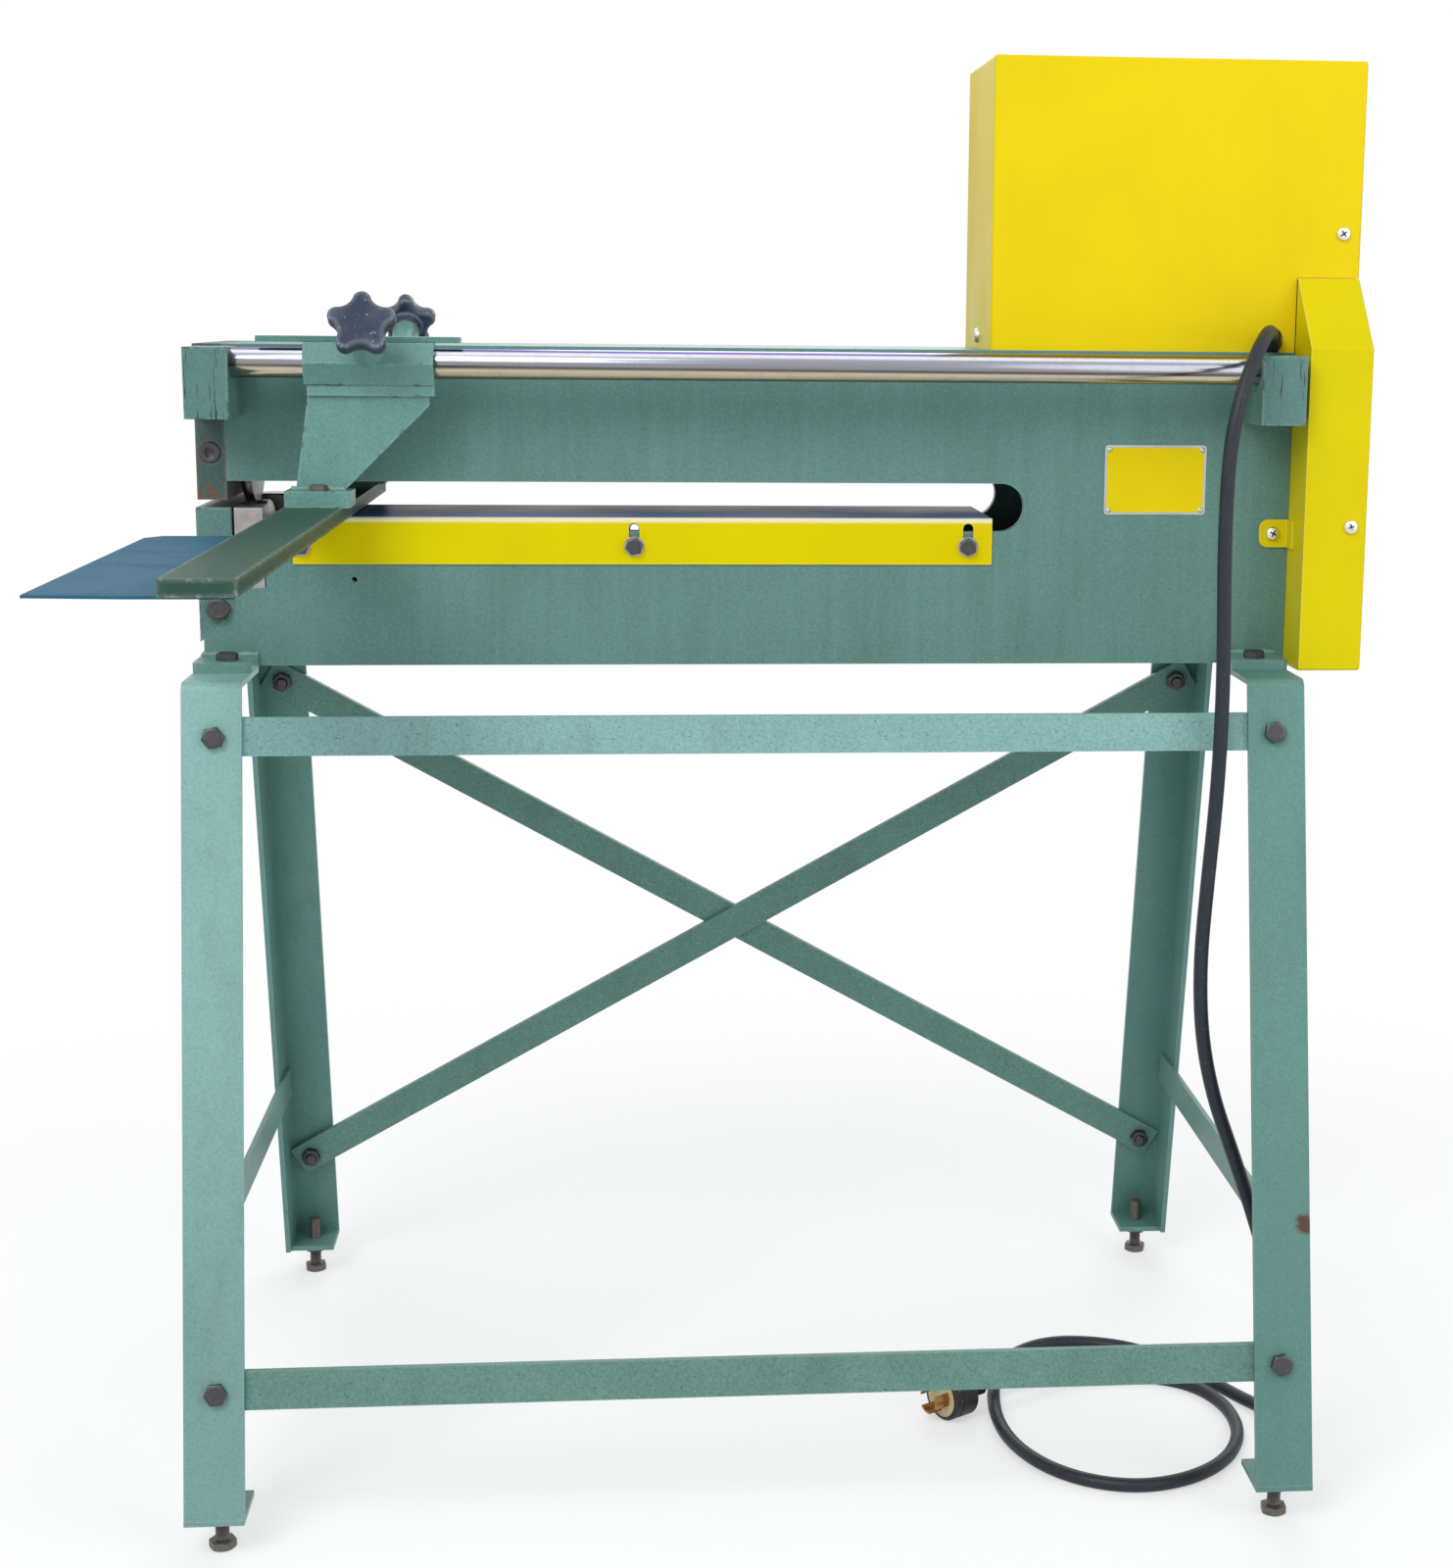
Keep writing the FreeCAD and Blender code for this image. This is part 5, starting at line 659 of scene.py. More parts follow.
DRESSINGS = (
    # Painted light: the left leg's enamel is a lighter copy of the legs' green, as if lit more
    # strongly.
    Dressing(0.7, ("leg_front_left",), HammerPaint(
        "Green enamel of the left leg", (0.285, 0.525, 0.485, 1), fade=(0.05, 0.7, 0.74),
        rust=(0.0, 0.05, 0.12), **LEGS)),
    # Painted shade: the right leg's enamel is a slightly darker copy of the legs' green.
    Dressing(0.7, ("leg_front_right",), HammerPaint(
        "Green enamel of the right leg", (0.138, 0.308, 0.270, 1), fade=(0.1, 0.6, 0.9),
        rust=(0.02, 0.06, 0.12), under=(0.11, 0.055, 0.045, 1),
        spots=((476.0, -291.5, 258.0, 13.0),), **LEGS)),
    Dressing(0.7, ("leg_rear_left", "leg_rear_right", "mounting_plates"), HammerPaint(
        "Green enamel of the legs", (0.150, 0.320, 0.285, 1), fade=(0.1, 0.6, 0.9),
        rust=(0.02, 0.09, 0.12), **LEGS)),
    Dressing(0.6, ("upper_front_rail",), HammerPaint(
        "Green enamel of the upper rail", (0.255, 0.475, 0.450, 1), wear=0.25, speckle=0.5)),
    Dressing(0.6, ("lower_front_rail", "side_rails", "brace_bar_rising", "brace_bar_falling"),
             HammerPaint("Green enamel of the lower rails", (0.148, 0.298, 0.260, 1),
                         wear=0.3, speckle=0.5, mottle=0.35)),
    Dressing(0.5, ("front_side_plate", "rear_side_plate", "beam_top_plate",
                   "beam_bottom_plate", "drive_end_plate", "bearing_blocks"), HammerPaint(
        "Green enamel of the beam", (0.130, 0.272, 0.243, 1), wear=0.2, mottle=0.25,
        streaks=0.28)),
    Dressing(0.8, ("bar_brackets",), HammerPaint(
        "Green enamel of the brackets", (0.115, 0.255, 0.228, 1), wear=0.62, reach=0.004,
        scratched=0.85, mottle=0.25, under=(0.06, 0.04, 0.03, 1))),
    Dressing(0.8, ("front_hanger", "rear_hanger", "carriage_sleeves"), HammerPaint(
        "Green enamel, handled", (0.160, 0.350, 0.320, 1), wear=0.55, reach=0.004,
        scratched=0.3, mottle=0.22, under=(0.05, 0.04, 0.035, 1))),
    # Painted shade: the upper block's near-black green stands in for the shadow of the bracket
    # above it.
    Dressing(0.7, ("upper_end_block",), HammerPaint(
        "Green enamel of the upper block", (0.060, 0.110, 0.100, 1), wear=0.75, reach=0.004,
        grime=0.5, under=(0.20, 0.08, 0.05, 1), rust=(0.872, 0.898, 0.40))),
    Dressing(0.7, ("lower_end_block",), HammerPaint(
        "Green enamel of the lower block", (0.115, 0.235, 0.215, 1), wear=0.7, reach=0.004,
        grime=0.3, under=(0.09, 0.06, 0.045, 1))),
    Dressing(0.6, ("pointer_strip",), HammerPaint(
        "Green hammered enamel", (0.125, 0.275, 0.250, 1))),
    Dressing(0.8, ("fence_bar",), HammerPaint(
        "Green enamel of the fence", (0.045, 0.098, 0.072, 1), wear=0.66, reach=0.005,
        scratched=0.25, mottle=0.12, speckle=0.05, under=(0.42, 0.41, 0.38, 1), gloss=0.03)),
    Dressing(0.9, ("motor_cover",), GlossPaint("Yellow enamel")),
    Dressing(0.9, ("drive_cover", "cover_tabs"), GlossPaint(
        "Yellow enamel of the drive cover", (0.81, 0.67, 0.003, 1))),
    # The guard's top behind the fold is painted shade with a painted sky reflection.
    Dressing(0.9, ("shaft_guard",), GlossPaint(
        "Yellow enamel of the guard", (0.80, 0.66, 0.003, 1), shaded_from=-94.5,
        fold_height=853.2, gloss=0.02)),
    # The guide bars' colour is a painted reflection: a dark underside, brownish lower bands, a
    # dark band, a painted white highlight and violet bands near the top.
    Dressing(0.6, ("guide_bars",), Metal(
        "Ground guide bar", roughness=0.2, stained=0.15, stain=(0.30, 0.22, 0.16, 1),
        grain=(0.05, 1.0, 1.0), painted_reflection=(
            (0.0, (0.04, 0.04, 0.04, 1)), (1.0, (0.42, 0.43, 0.47, 1)),
            (0.08, (0.48, 0.42, 0.31, 1)), (0.30, (0.56, 0.50, 0.38, 1)),
            (0.37, (0.07, 0.07, 0.07, 1)), (0.46, (0.28, 0.28, 0.30, 1)),
            (0.66, (0.30, 0.32, 0.38, 1)), (0.76, (0.36, 0.39, 0.48, 1)),
            (0.83, WHITE), (0.88, (0.80, 0.78, 0.98, 1)),
            (0.92, (0.17, 0.13, 0.46, 1)), (0.965, (0.15, 0.12, 0.42, 1))))),
    Dressing(0.3, ("guide_blocks", "upper_cutter", "lower_cutter", "output_shaft"),
             BARE_STEEL),
    Dressing(0.0, ("upper_arbor", "lower_arbor", "upper_gear", "lower_gear", "lower_sprocket",
                   "drive_sprocket", "drive_chain"), Metal(
        "Oiled steel", (0.26, 0.24, 0.22, 1), 0.38, stained=0.6,
        stain=(0.05, 0.035, 0.02, 1))),
    Dressing(0.0, ("brace_washers",), BLACK_STEEL),
    # Painted reflection: the sheet's blue colour stands in for the sky mirrored in it.
    Dressing(0.0, ("support_sheet",), Metal(
        "Bluish sheet", (0.028, 0.130, 0.215, 1), 0.5, metallic=0.0,
        stain=(0.03, 0.12, 0.18, 1), stained=0.5, scale=14.0, grain=(1.0, 0.05, 1.0),
        gloss=0.06)),
    Dressing(0.0, ("arbor_bushes",), Metal("Bronze bush", (0.50, 0.30, 0.12, 1), 0.4)),
    Dressing(0.0, ("motor", "gearbox", "motor_base"), HammerPaint(
        "Motor grey", (0.16, 0.19, 0.21, 1), wear=0.1)),
    # The knob's blue tint on black plastic is a painted sky reflection; rim sets a painted
    # highlight on its edges.
    Dressing(1.8, ("front_clamp_knob", "rear_clamp_knob"), Moulded(
        "Knob plastic", (0.016, 0.030, 0.064, 1), 0.34, dust=(0.42, 0.46, 0.54, 1),
        dusty=0.7, rim=0.8)),
    Dressing(0.4, ("cord_gland",), CORD_BLACK),
)


def soften(piece: Thing, width: float) -> None:
    """Round a CAD piece's edges by modifiers, so that they catch the light.

    Args:
        piece: The CAD piece.
        width: Width of the rounding in millimetres.
    """
    weld = piece.modifiers.new("Weld", "WELD")
    weld.merge_threshold = SAME_POINT
    flats = piece.modifiers.new("Flats", "DECIMATE")
    flats.decimate_type = "DISSOLVE"
    flats.angle_limit = FLAT_ANGLE
    edges = piece.modifiers.new("Edges", "BEVEL")
    edges.width = width * MM
    edges.segments = 2
    edges.limit_method = "ANGLE"
    edges.angle_limit = SHARP_ANGLE
    edges.harden_normals = True


def dress(piece: Thing, *finishes: Finish) -> None:
    """Give an object its finishes.

    Args:
        piece: The object.
        finishes: One finish for each material slot.
    """
    if piece.data.materials:
        piece.data.materials.clear()
    for finish in finishes:
        piece.data.materials.append(finish.make())


# Shapes


@dataclass(frozen=True)
class Ring:
    """One ring of a turned shape, in millimetres.

    Attributes:
        radius: Radius, or half the width across flats of a hexagonal ring.
        height: Height above the shape's foot.
        hexagonal: True if the ring is pushed out to six corners.
        fall: Drop of the corners for each millimetre that they stand out.
    """

    radius: float
    height: float
    hexagonal: bool = False
    fall: float = 0.0

    def takes(self, radius: float, height: float) -> bool:
        """True if a point at that radius and height lies on the ring."""
        return abs(radius - self.radius) < RING_GAP and abs(height - self.height) < RING_GAP


def turned(rings: Sequence[Ring], steps: int = 24, closed: bool = False) -> Shape:
    """Spin rings into a shape that stands on the Z axis.

    Args:
        rings: The profile, from its foot.
        steps: Faces round the shape, a multiple of 12 where a ring is hexagonal.
        closed: True if the last ring joins the first, as in a nut.

    Returns:
        The shape in metres.
    """
    mesh = bmesh.new()
    line = [mesh.verts.new((ring.radius, 0.0, ring.height)) for ring in rings]
    ends = line[1:] + line[:1] if closed else line[1:]
    edges = [mesh.edges.new(pair) for pair in zip(line, ends)]
    bmesh.ops.spin(mesh, geom=line + edges, cent=(0, 0, 0), axis=(0, 0, 1), angle=math.tau,
                   steps=steps, use_merge=True)
    bmesh.ops.remove_doubles(mesh, verts=mesh.verts, dist=RING_GAP / 10)
    corners = [ring for ring in rings if ring.hexagonal]
    for vert in mesh.verts:
        x, y, z = vert.co
        radius = math.hypot(x, y)
        ring = next((ring for ring in corners if ring.takes(radius, z)), None)
        if ring:
            turn = math.atan2(y, x) % (math.pi / 3) - math.pi / 6
            out = 1 / math.cos(turn)
            vert.co = (x * out, y * out, z - ring.fall * radius * (out - 1))
    bmesh.ops.scale(mesh, vec=(MM, MM, MM), verts=mesh.verts)
    return mesh


def across_flats(diameter: float) -> float:
    """Width across the flats of a bolt's head or nut."""
    return 1.6 * diameter + 1


def hex_head(diameter: float) -> Shape:
    """Hexagon bolt head with a washer face, chamfered corners and a dished top.

    Args:
        diameter: The bolt's diameter.

    Returns:
        The head.
    """
    height = HEAD_RATIO * diameter
    half = across_flats(diameter) / 2
    crown = half * 0.94
    brim = height - (half - crown) * CHAMFER
    return turned([Ring(0, 0), Ring(crown, 0), Ring(crown, 0.4), Ring(half, 0.4, True),
                   Ring(half, brim, True, CHAMFER), Ring(crown, height),
                   Ring(crown * 0.72, height), Ring(crown * 0.66, height - 0.35),
                   Ring(0, height - 0.35)])


def hex_nut(diameter: float) -> Shape:
    """Hexagon nut, chamfered on both faces and countersunk round its thread.

    Args:
        diameter: The bolt's diameter.

    Returns:
        The nut.
    """
    height, bore = 0.8 * diameter, diameter / 2 + 0.15
    half = across_flats(diameter) / 2
    crown = half * 0.94
    slope = (half - crown) * CHAMFER
    return turned([Ring(bore, 0.8), Ring(bore + 0.8, 0), Ring(crown, 0),
                   Ring(half, slope, True, -CHAMFER), Ring(half, height - slope, True, CHAMFER),
                   Ring(crown, height), Ring(bore + 0.8, height), Ring(bore, height - 0.8)],
                  closed=True)


def threaded(radius: float, low: float, high: float, pitch: float) -> Shape:
    """Stud with thread grooves between two heights and a chamfered end at the low one.

    Args:
        radius: Radius over the thread.
        low: Height of the chamfered end.
        high: Height of the other end.
        pitch: Distance between two grooves.

    Returns:
        The stud.
    """
    count = max(2, int((high - low) / pitch))
    rings = [Ring(0, low), Ring(radius * 0.82, low)]
    for number in range(count):
        foot = low + (high - low) * (number + 0.25) / count
        rings += [Ring(radius, foot), Ring(radius * 0.88, foot + pitch * 0.5)]
    return turned(rings + [Ring(radius, high), Ring(0, high)], steps=16)


def socket_head(radius: float, height: float, flats: float) -> Shape:
    """Round screw head with a hexagonal socket.

    Args:
        radius: The head's radius.
        height: The head's height.
        flats: Width across the socket's flats.

    Returns:
        The head.
    """
    floor, half = height * 0.4, flats / 2
    return turned([Ring(0, 0), Ring(radius, 0), Ring(radius, height - 0.7),
                   Ring(radius - 0.7, height), Ring(half + 0.9, height),
                   Ring(half, height - 0.3, True), Ring(half, floor, True), Ring(0, floor - 1)])


def pan_head(radius: float, height: float, length: float, shank: float) -> Shape:
    """Pan-head screw with a cross recess.

    Args:
        radius: Radius of the head.
        height: Height of the head.
        length: Length of the shank.
        shank: Radius of the shank.

    Returns:
        The screw, its head on the Z axis above the origin.
    """
    mesh = turned([Ring(0, -length), Ring(shank, -length + 1), Ring(shank, 0), Ring(radius, 0),
                   Ring(radius, height * 0.3), Ring(radius * 0.93, height * 0.65),
                   Ring(radius * 0.78, height * 0.92), Ring(radius * 0.62, height)])
    arm, half_width, depth = radius * 0.46 * MM, radius * 0.10 * MM, height * 0.35 * MM
    floor = bmesh.ops.create_grid(mesh, x_segments=3, y_segments=3, size=arm)["verts"]
    for vert in floor:
        for axis in (0, 1):
            if abs(vert.co[axis]) < arm / 2:
                vert.co[axis] = math.copysign(half_width, vert.co[axis])
        vert.co.z = height * MM - depth
    faces = {face for vert in floor for face in vert.link_faces}
    corners = [face for face in faces
               if min(map(abs, face.calc_center_median().xy)) > half_width]
    bmesh.ops.delete(mesh, geom=corners, context="FACES")
    kept = {edge for vert in floor if vert.is_valid for edge in vert.link_edges}
    rim = [edge for edge in kept if edge.is_boundary]
    wall = bmesh.ops.extrude_edge_only(mesh, edges=rim)["geom"]
    raised = [item for item in wall if isinstance(item, bmesh.types.BMVert)]
    bmesh.ops.translate(mesh, vec=(0, 0, depth), verts=raised)
    bmesh.ops.bridge_loops(mesh, edges=[edge for edge in mesh.edges if edge.is_boundary])
    return mesh


class Form:
    """Gathers shapes into one mesh in the part's frame."""

    def __init__(self) -> None:
        """Start with an empty mesh."""
        self.mesh = bmesh.new()

    def stand(self, shape: Shape, at: Vector, axis: Sequence[float], turn: float = 0.0,
              slot: int | None = 0) -> None:
        """Add a shape that was made up the Z axis.

        Args:
            shape: The shape, which is used up.
            at: Where its foot goes.
            axis: Direction that its Z axis turns to.
            turn: Angle about that axis, in degrees.
            slot: Material slot, or None to keep the shape's own.
        """
        bmesh.ops.recalc_face_normals(shape, faces=shape.faces)
        for face in shape.faces:
            face.smooth = True
            if slot is not None:
                face.material_index = slot
        rotation = Vector(axis).to_track_quat("Z", "Y").to_matrix().to_4x4()
        spin = Matrix.Rotation(math.radians(turn), 4, "Z")
        bmesh.ops.transform(shape, matrix=Matrix.Translation(at) @ rotation @ spin,
                            verts=shape.verts)
        part = bpy.data.meshes.new("part")
        shape.to_mesh(part)
        shape.free()
        self.mesh.from_mesh(part)
        bpy.data.meshes.remove(part)

    def to_object(self, name: str, crease: float) -> Thing:
        """Turn the mesh into an object at the origin.

        Args:
            name: The object's name.
            crease: Angle in degrees from which an edge is sharp.

        Returns:
            The object, linked to the scene.
        """
        data = bpy.data.meshes.new(name)
        self.mesh.to_mesh(data)
        self.mesh.free()
        data.set_sharp_from_angle(angle=math.radians(crease))
        return link(name, data)


# Pieces


@dataclass
class Piece:
    """A detailed piece in place of a CAD piece, or beside the CAD pieces.

    Attributes:
        name: The object's name.
        body: Body that it rides.
        slot: Name of its material slot; not used.
        finishes: Materials, one to each slot of the mesh.
        node: CAD piece that it stands in for, if any.
        crease: Angle in degrees from which an edge is sharp.
    """

    name: str
    body: str
    slot: str
    finishes: tuple[Finish, ...]
    node: str | None = None
    crease: float = 32.0

    def shape(self, form: Form) -> None:
        """Add the piece's shapes to a mesh."""
        raise NotImplementedError

    def build(self) -> Thing:
        """Make the piece, dress it and tell the frame where it belongs."""
        form = Form()
        self.shape(form)
        made = form.to_object(self.name, self.crease)
        dress(made, *self.finishes)
        if self.node:
            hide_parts(self.node)
        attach(made, self.body)
        log.info("%s: %d faces", self.name, len(made.data.polygons))
        return made


@dataclass(frozen=True)
class Seat:
    """Where a fastener sits.

    Attributes:
        at: The point under its head.
        axis: The way that the head faces.
        length: Length of its shank.
        turn: Angle of the head in degrees.
    """

    at: Triple
    axis: Triple
    length: float = 0.0
    turn: float = 0.0


@dataclass
class Fasteners(Piece):
    """Fasteners, one on each seat."""

    seats: tuple[Seat, ...] = ()

    def parts(self, seat: Seat) -> Iterator[tuple[Shape, float, int]]:
        """Shapes of the fastener on a seat, each with its angle and its material slot."""
        raise NotImplementedError

    def shape(self, form: Form) -> None:
        """Stand a fastener on each seat."""
        for seat in self.seats:
            for part, turn, slot in self.parts(seat):
                form.stand(part, from_stand(*seat.at), seat.axis, turn, slot)


@dataclass
class HexBolts(Fasteners):
    """Hexagon-head bolts of one size, threaded where they show.

    Attributes:
        thread: Length of the thread, or None if it runs up to the head.
        washer: Radius of the washer under the head; none if 0.
    """

    diameter: float = 10.0
    pitch: float = 1.5
    thread: float | None = 14.0
    washer: float = 0.0

    def parts(self, seat: Seat) -> Iterator[tuple[Shape, float, int]]:
        """Head, washer, plain shank and threaded end."""
        radius, shoulder = self.diameter / 2, 0.0
        yield hex_head(self.diameter), seat.turn, 0
        if self.washer:
            inner, outer = across_flats(self.diameter) * 0.4, self.washer
            yield turned([Ring(inner, 0), Ring(outer, 0), Ring(outer, 0.9),
                          Ring(outer - 0.5, 1.3), Ring(inner, 1.3)], closed=True), 0.0, 1
        if self.thread is not None:
            shoulder = min(-0.5, self.thread - seat.length)
            yield turned([Ring(0, shoulder), Ring(radius, shoulder), Ring(radius, 0),
                          Ring(0, 0)], 16), 0.0, 0
        yield threaded(radius, -seat.length, shoulder, self.pitch), 0.0, 0


@dataclass
class EndBlockBolts(HexBolts):
    """Hexagon pinch bolts of the lower block and sunk socket screws of the upper one."""

    sunk: tuple[Seat, ...] = ()
    sunk_diameter: float = 12.0
    sunk_pitch: float = 1.75
    head_radius: float = 9.0
    head_height: float = 10.0
    key: float = 8.0

    def parts(self, seat: Seat) -> Iterator[tuple[Shape, float, int]]:
        """Head and threaded shank of either kind."""
        if seat not in self.sunk:
            yield from super().parts(seat)
            return
        yield socket_head(self.head_radius, self.head_height, self.key), seat.turn, 0
        yield threaded(self.sunk_diameter / 2, -seat.length, 0.0, self.sunk_pitch), 0.0, 0


@dataclass
class HexNuts(Fasteners):
    """Hexagon nuts of one size."""

    diameter: float = 10.0

    def parts(self, seat: Seat) -> Iterator[tuple[Shape, float, int]]:
        """The nut alone."""
        yield hex_nut(self.diameter), seat.turn, 0


@dataclass
class CoverScrews(Fasteners):
    """Pan-head screws with a cross recess that hold the yellow covers."""

    radius: float = 6.5
    height: float = 3.4
    shank: float = 2.4

    def parts(self, seat: Seat) -> Iterator[tuple[Shape, float, int]]:
        """The screw, head and shank in one."""
        yield pan_head(self.radius, self.height, seat.length, self.shank), seat.turn, 0


@dataclass
class Nameplate(Piece):
    """Plate with a bright border round a bare yellow field, held by four rivets."""

    left: float = 318.0
    right: float = 410.0
    low: float = 857.0
    high: float = 919.0
    face: float = -97.0
    thick: float = 1.0
    corner: float = 3.0
    border: float = 2.2
    sunk: float = 0.15
    rivet_inset: float = 4.0

    def shape(self, form: Form) -> None:
        """Round a plate's corners, sink its field and set the rivets."""
        wide, tall = (self.right - self.left) * MM, (self.high - self.low) * MM
        plate = bmesh.new()
        bmesh.ops.create_cube(plate, size=1.0)
        bmesh.ops.scale(plate, vec=(wide, tall, self.thick * MM), verts=plate.verts)
        upright = [edge for edge in plate.edges
                   if abs(edge.verts[0].co.z - edge.verts[1].co.z) > 1e-5]
        bmesh.ops.bevel(plate, geom=upright, offset=self.corner * MM, segments=4, profile=0.5,
                        affect="EDGES", material=-1)
        bmesh.ops.recalc_face_normals(plate, faces=plate.faces)
        front = max(plate.faces, key=lambda face: face.calc_center_median().z)
        for thickness, depth in ((self.border, 0.0), (self.sunk, -self.sunk)):
            bmesh.ops.inset_region(plate, faces=[front], thickness=thickness * MM,
                                   depth=depth * MM, use_even_offset=True)
        for face in plate.faces:
            face.material_index = 0
        front.material_index = 1
        middle = from_stand((self.left + self.right) / 2, self.face - self.thick / 2,
                            (self.low + self.high) / 2)
        form.stand(plate, middle, FRONT, slot=None)
        inset = self.rivet_inset
        for x in (self.left + inset, self.right - inset):
            for z in (self.low + inset, self.high - inset):
                rivet = turned([Ring(0, -0.5), Ring(2.5, -0.5), Ring(2.5, 0.2), Ring(2.1, 0.7),
                                Ring(1.2, 1.05), Ring(0, 1.15)], 16)
                form.stand(rivet, from_stand(x, self.face - self.thick, z), FRONT)


@dataclass
class WeldBeads(Piece):
    """Weld beads laid as overlapping drops along straight seams."""

    seams: tuple[tuple[Triple, Triple], ...] = ()
    radius: float = 3.0
    flat: float = 0.55

    def shape(self, form: Form) -> None:
        """Lay drops of slightly uneven size along each seam."""
        for start, end in self.seams:
            first, last = from_stand(*start), from_stand(*end)
            run = last - first
            count = max(2, round(run.length / (self.radius * MM * 0.75)))
            for number in range(count + 1):
                size = self.radius * MM * (1 + 0.12 * math.sin(5.1 * number + first.x * 40))
                drop = bmesh.new()
                bmesh.ops.create_icosphere(drop, subdivisions=2, radius=size)
                bmesh.ops.scale(drop, vec=(1.0, 1.0, self.flat), verts=drop.verts)
                lean = run.normalized() + Vector((0, 0, 0.5))
                form.stand(drop, first + run * number / count, lean)


@dataclass
class PowerPlug(Piece):
    """Round locking plug on the floor: ribbed body and neck, pale face, curved blades."""

    cord_end: Triple = (224.0, -81.5, 23.0)
    heading: Triple = (28.0, 18.5, 0.0)
    radius: float = 23.0
    body_length: float = 34.0
    neck_length: float = 16.0
    neck_radius: float = 10.0
    neck_ribs: int = 5
    blade_radii: tuple[float, float] = (10.5, 12.5)
    blade_length: float = 15.0
    blade_sweep: float = 62.0
    blade_starts: Triple = (20.0, 140.0, 260.0)

    def shape(self, form: Form) -> None:
        """Turn the body and the face and stand the blades in it."""
        length = self.body_length + self.neck_length
        back = Vector(self.heading).normalized()
        face = from_stand(*self.cord_end) - back * length * MM
        full, neck, edge = self.radius, self.neck_radius, self.radius / 8
        rim = Ring(full - edge - 1.2, 1.0)
        rings = [rim, Ring(full - edge, 0), Ring(full, edge), Ring(full, 9),
                 Ring(full - 0.9, 9.6), Ring(full - 0.9, 11), Ring(full, 11.6),
                 Ring(full, self.body_length - 2 * edge), Ring(neck + edge, self.body_length)]
        pitch = self.neck_length / self.neck_ribs
        for number in range(self.neck_ribs):
            foot = self.body_length + pitch * number
            rings += [Ring(neck - 1.2, foot + pitch * 0.2), Ring(neck - 1.2, foot + pitch * 0.4),
                      Ring(neck, foot + pitch * 0.6), Ring(neck, foot + pitch * 0.95)]
        rings += [Ring(neck - 0.8, length), Ring(0, length)]
        form.stand(turned(rings, 36), face, back)
        form.stand(turned([Ring(0, rim.height), rim], 36), face, back, slot=1)
        for start in self.blade_starts:
            form.stand(self.blade(), face, back, start, slot=2)

    def blade(self) -> Shape:
        """One curved blade, from inside the face to its tip."""
        inner, outer = (radius * MM for radius in self.blade_radii)
        mesh = bmesh.new()
        bmesh.ops.create_grid(mesh, x_segments=1, y_segments=1, size=0.5)
        wide, long, seated = outer - inner, (self.blade_length + 2) * MM, 2 * MM
        bmesh.ops.transform(mesh, verts=mesh.verts, matrix=Matrix(
            ((wide, 0, 0, (inner + outer) / 2), (0, 0, 0, 0), (0, long, 0, seated - long / 2),
             (0, 0, 0, 1))))
        bmesh.ops.spin(mesh, geom=[*mesh.verts, *mesh.edges, *mesh.faces], cent=(0, 0, 0),
                       axis=(0, 0, 1), angle=math.radians(self.blade_sweep), steps=8)
        open_edges = [edge for edge in mesh.edges if edge.is_boundary]
        bmesh.ops.holes_fill(mesh, edges=open_edges, sides=4)
        return mesh


# Places of the pieces


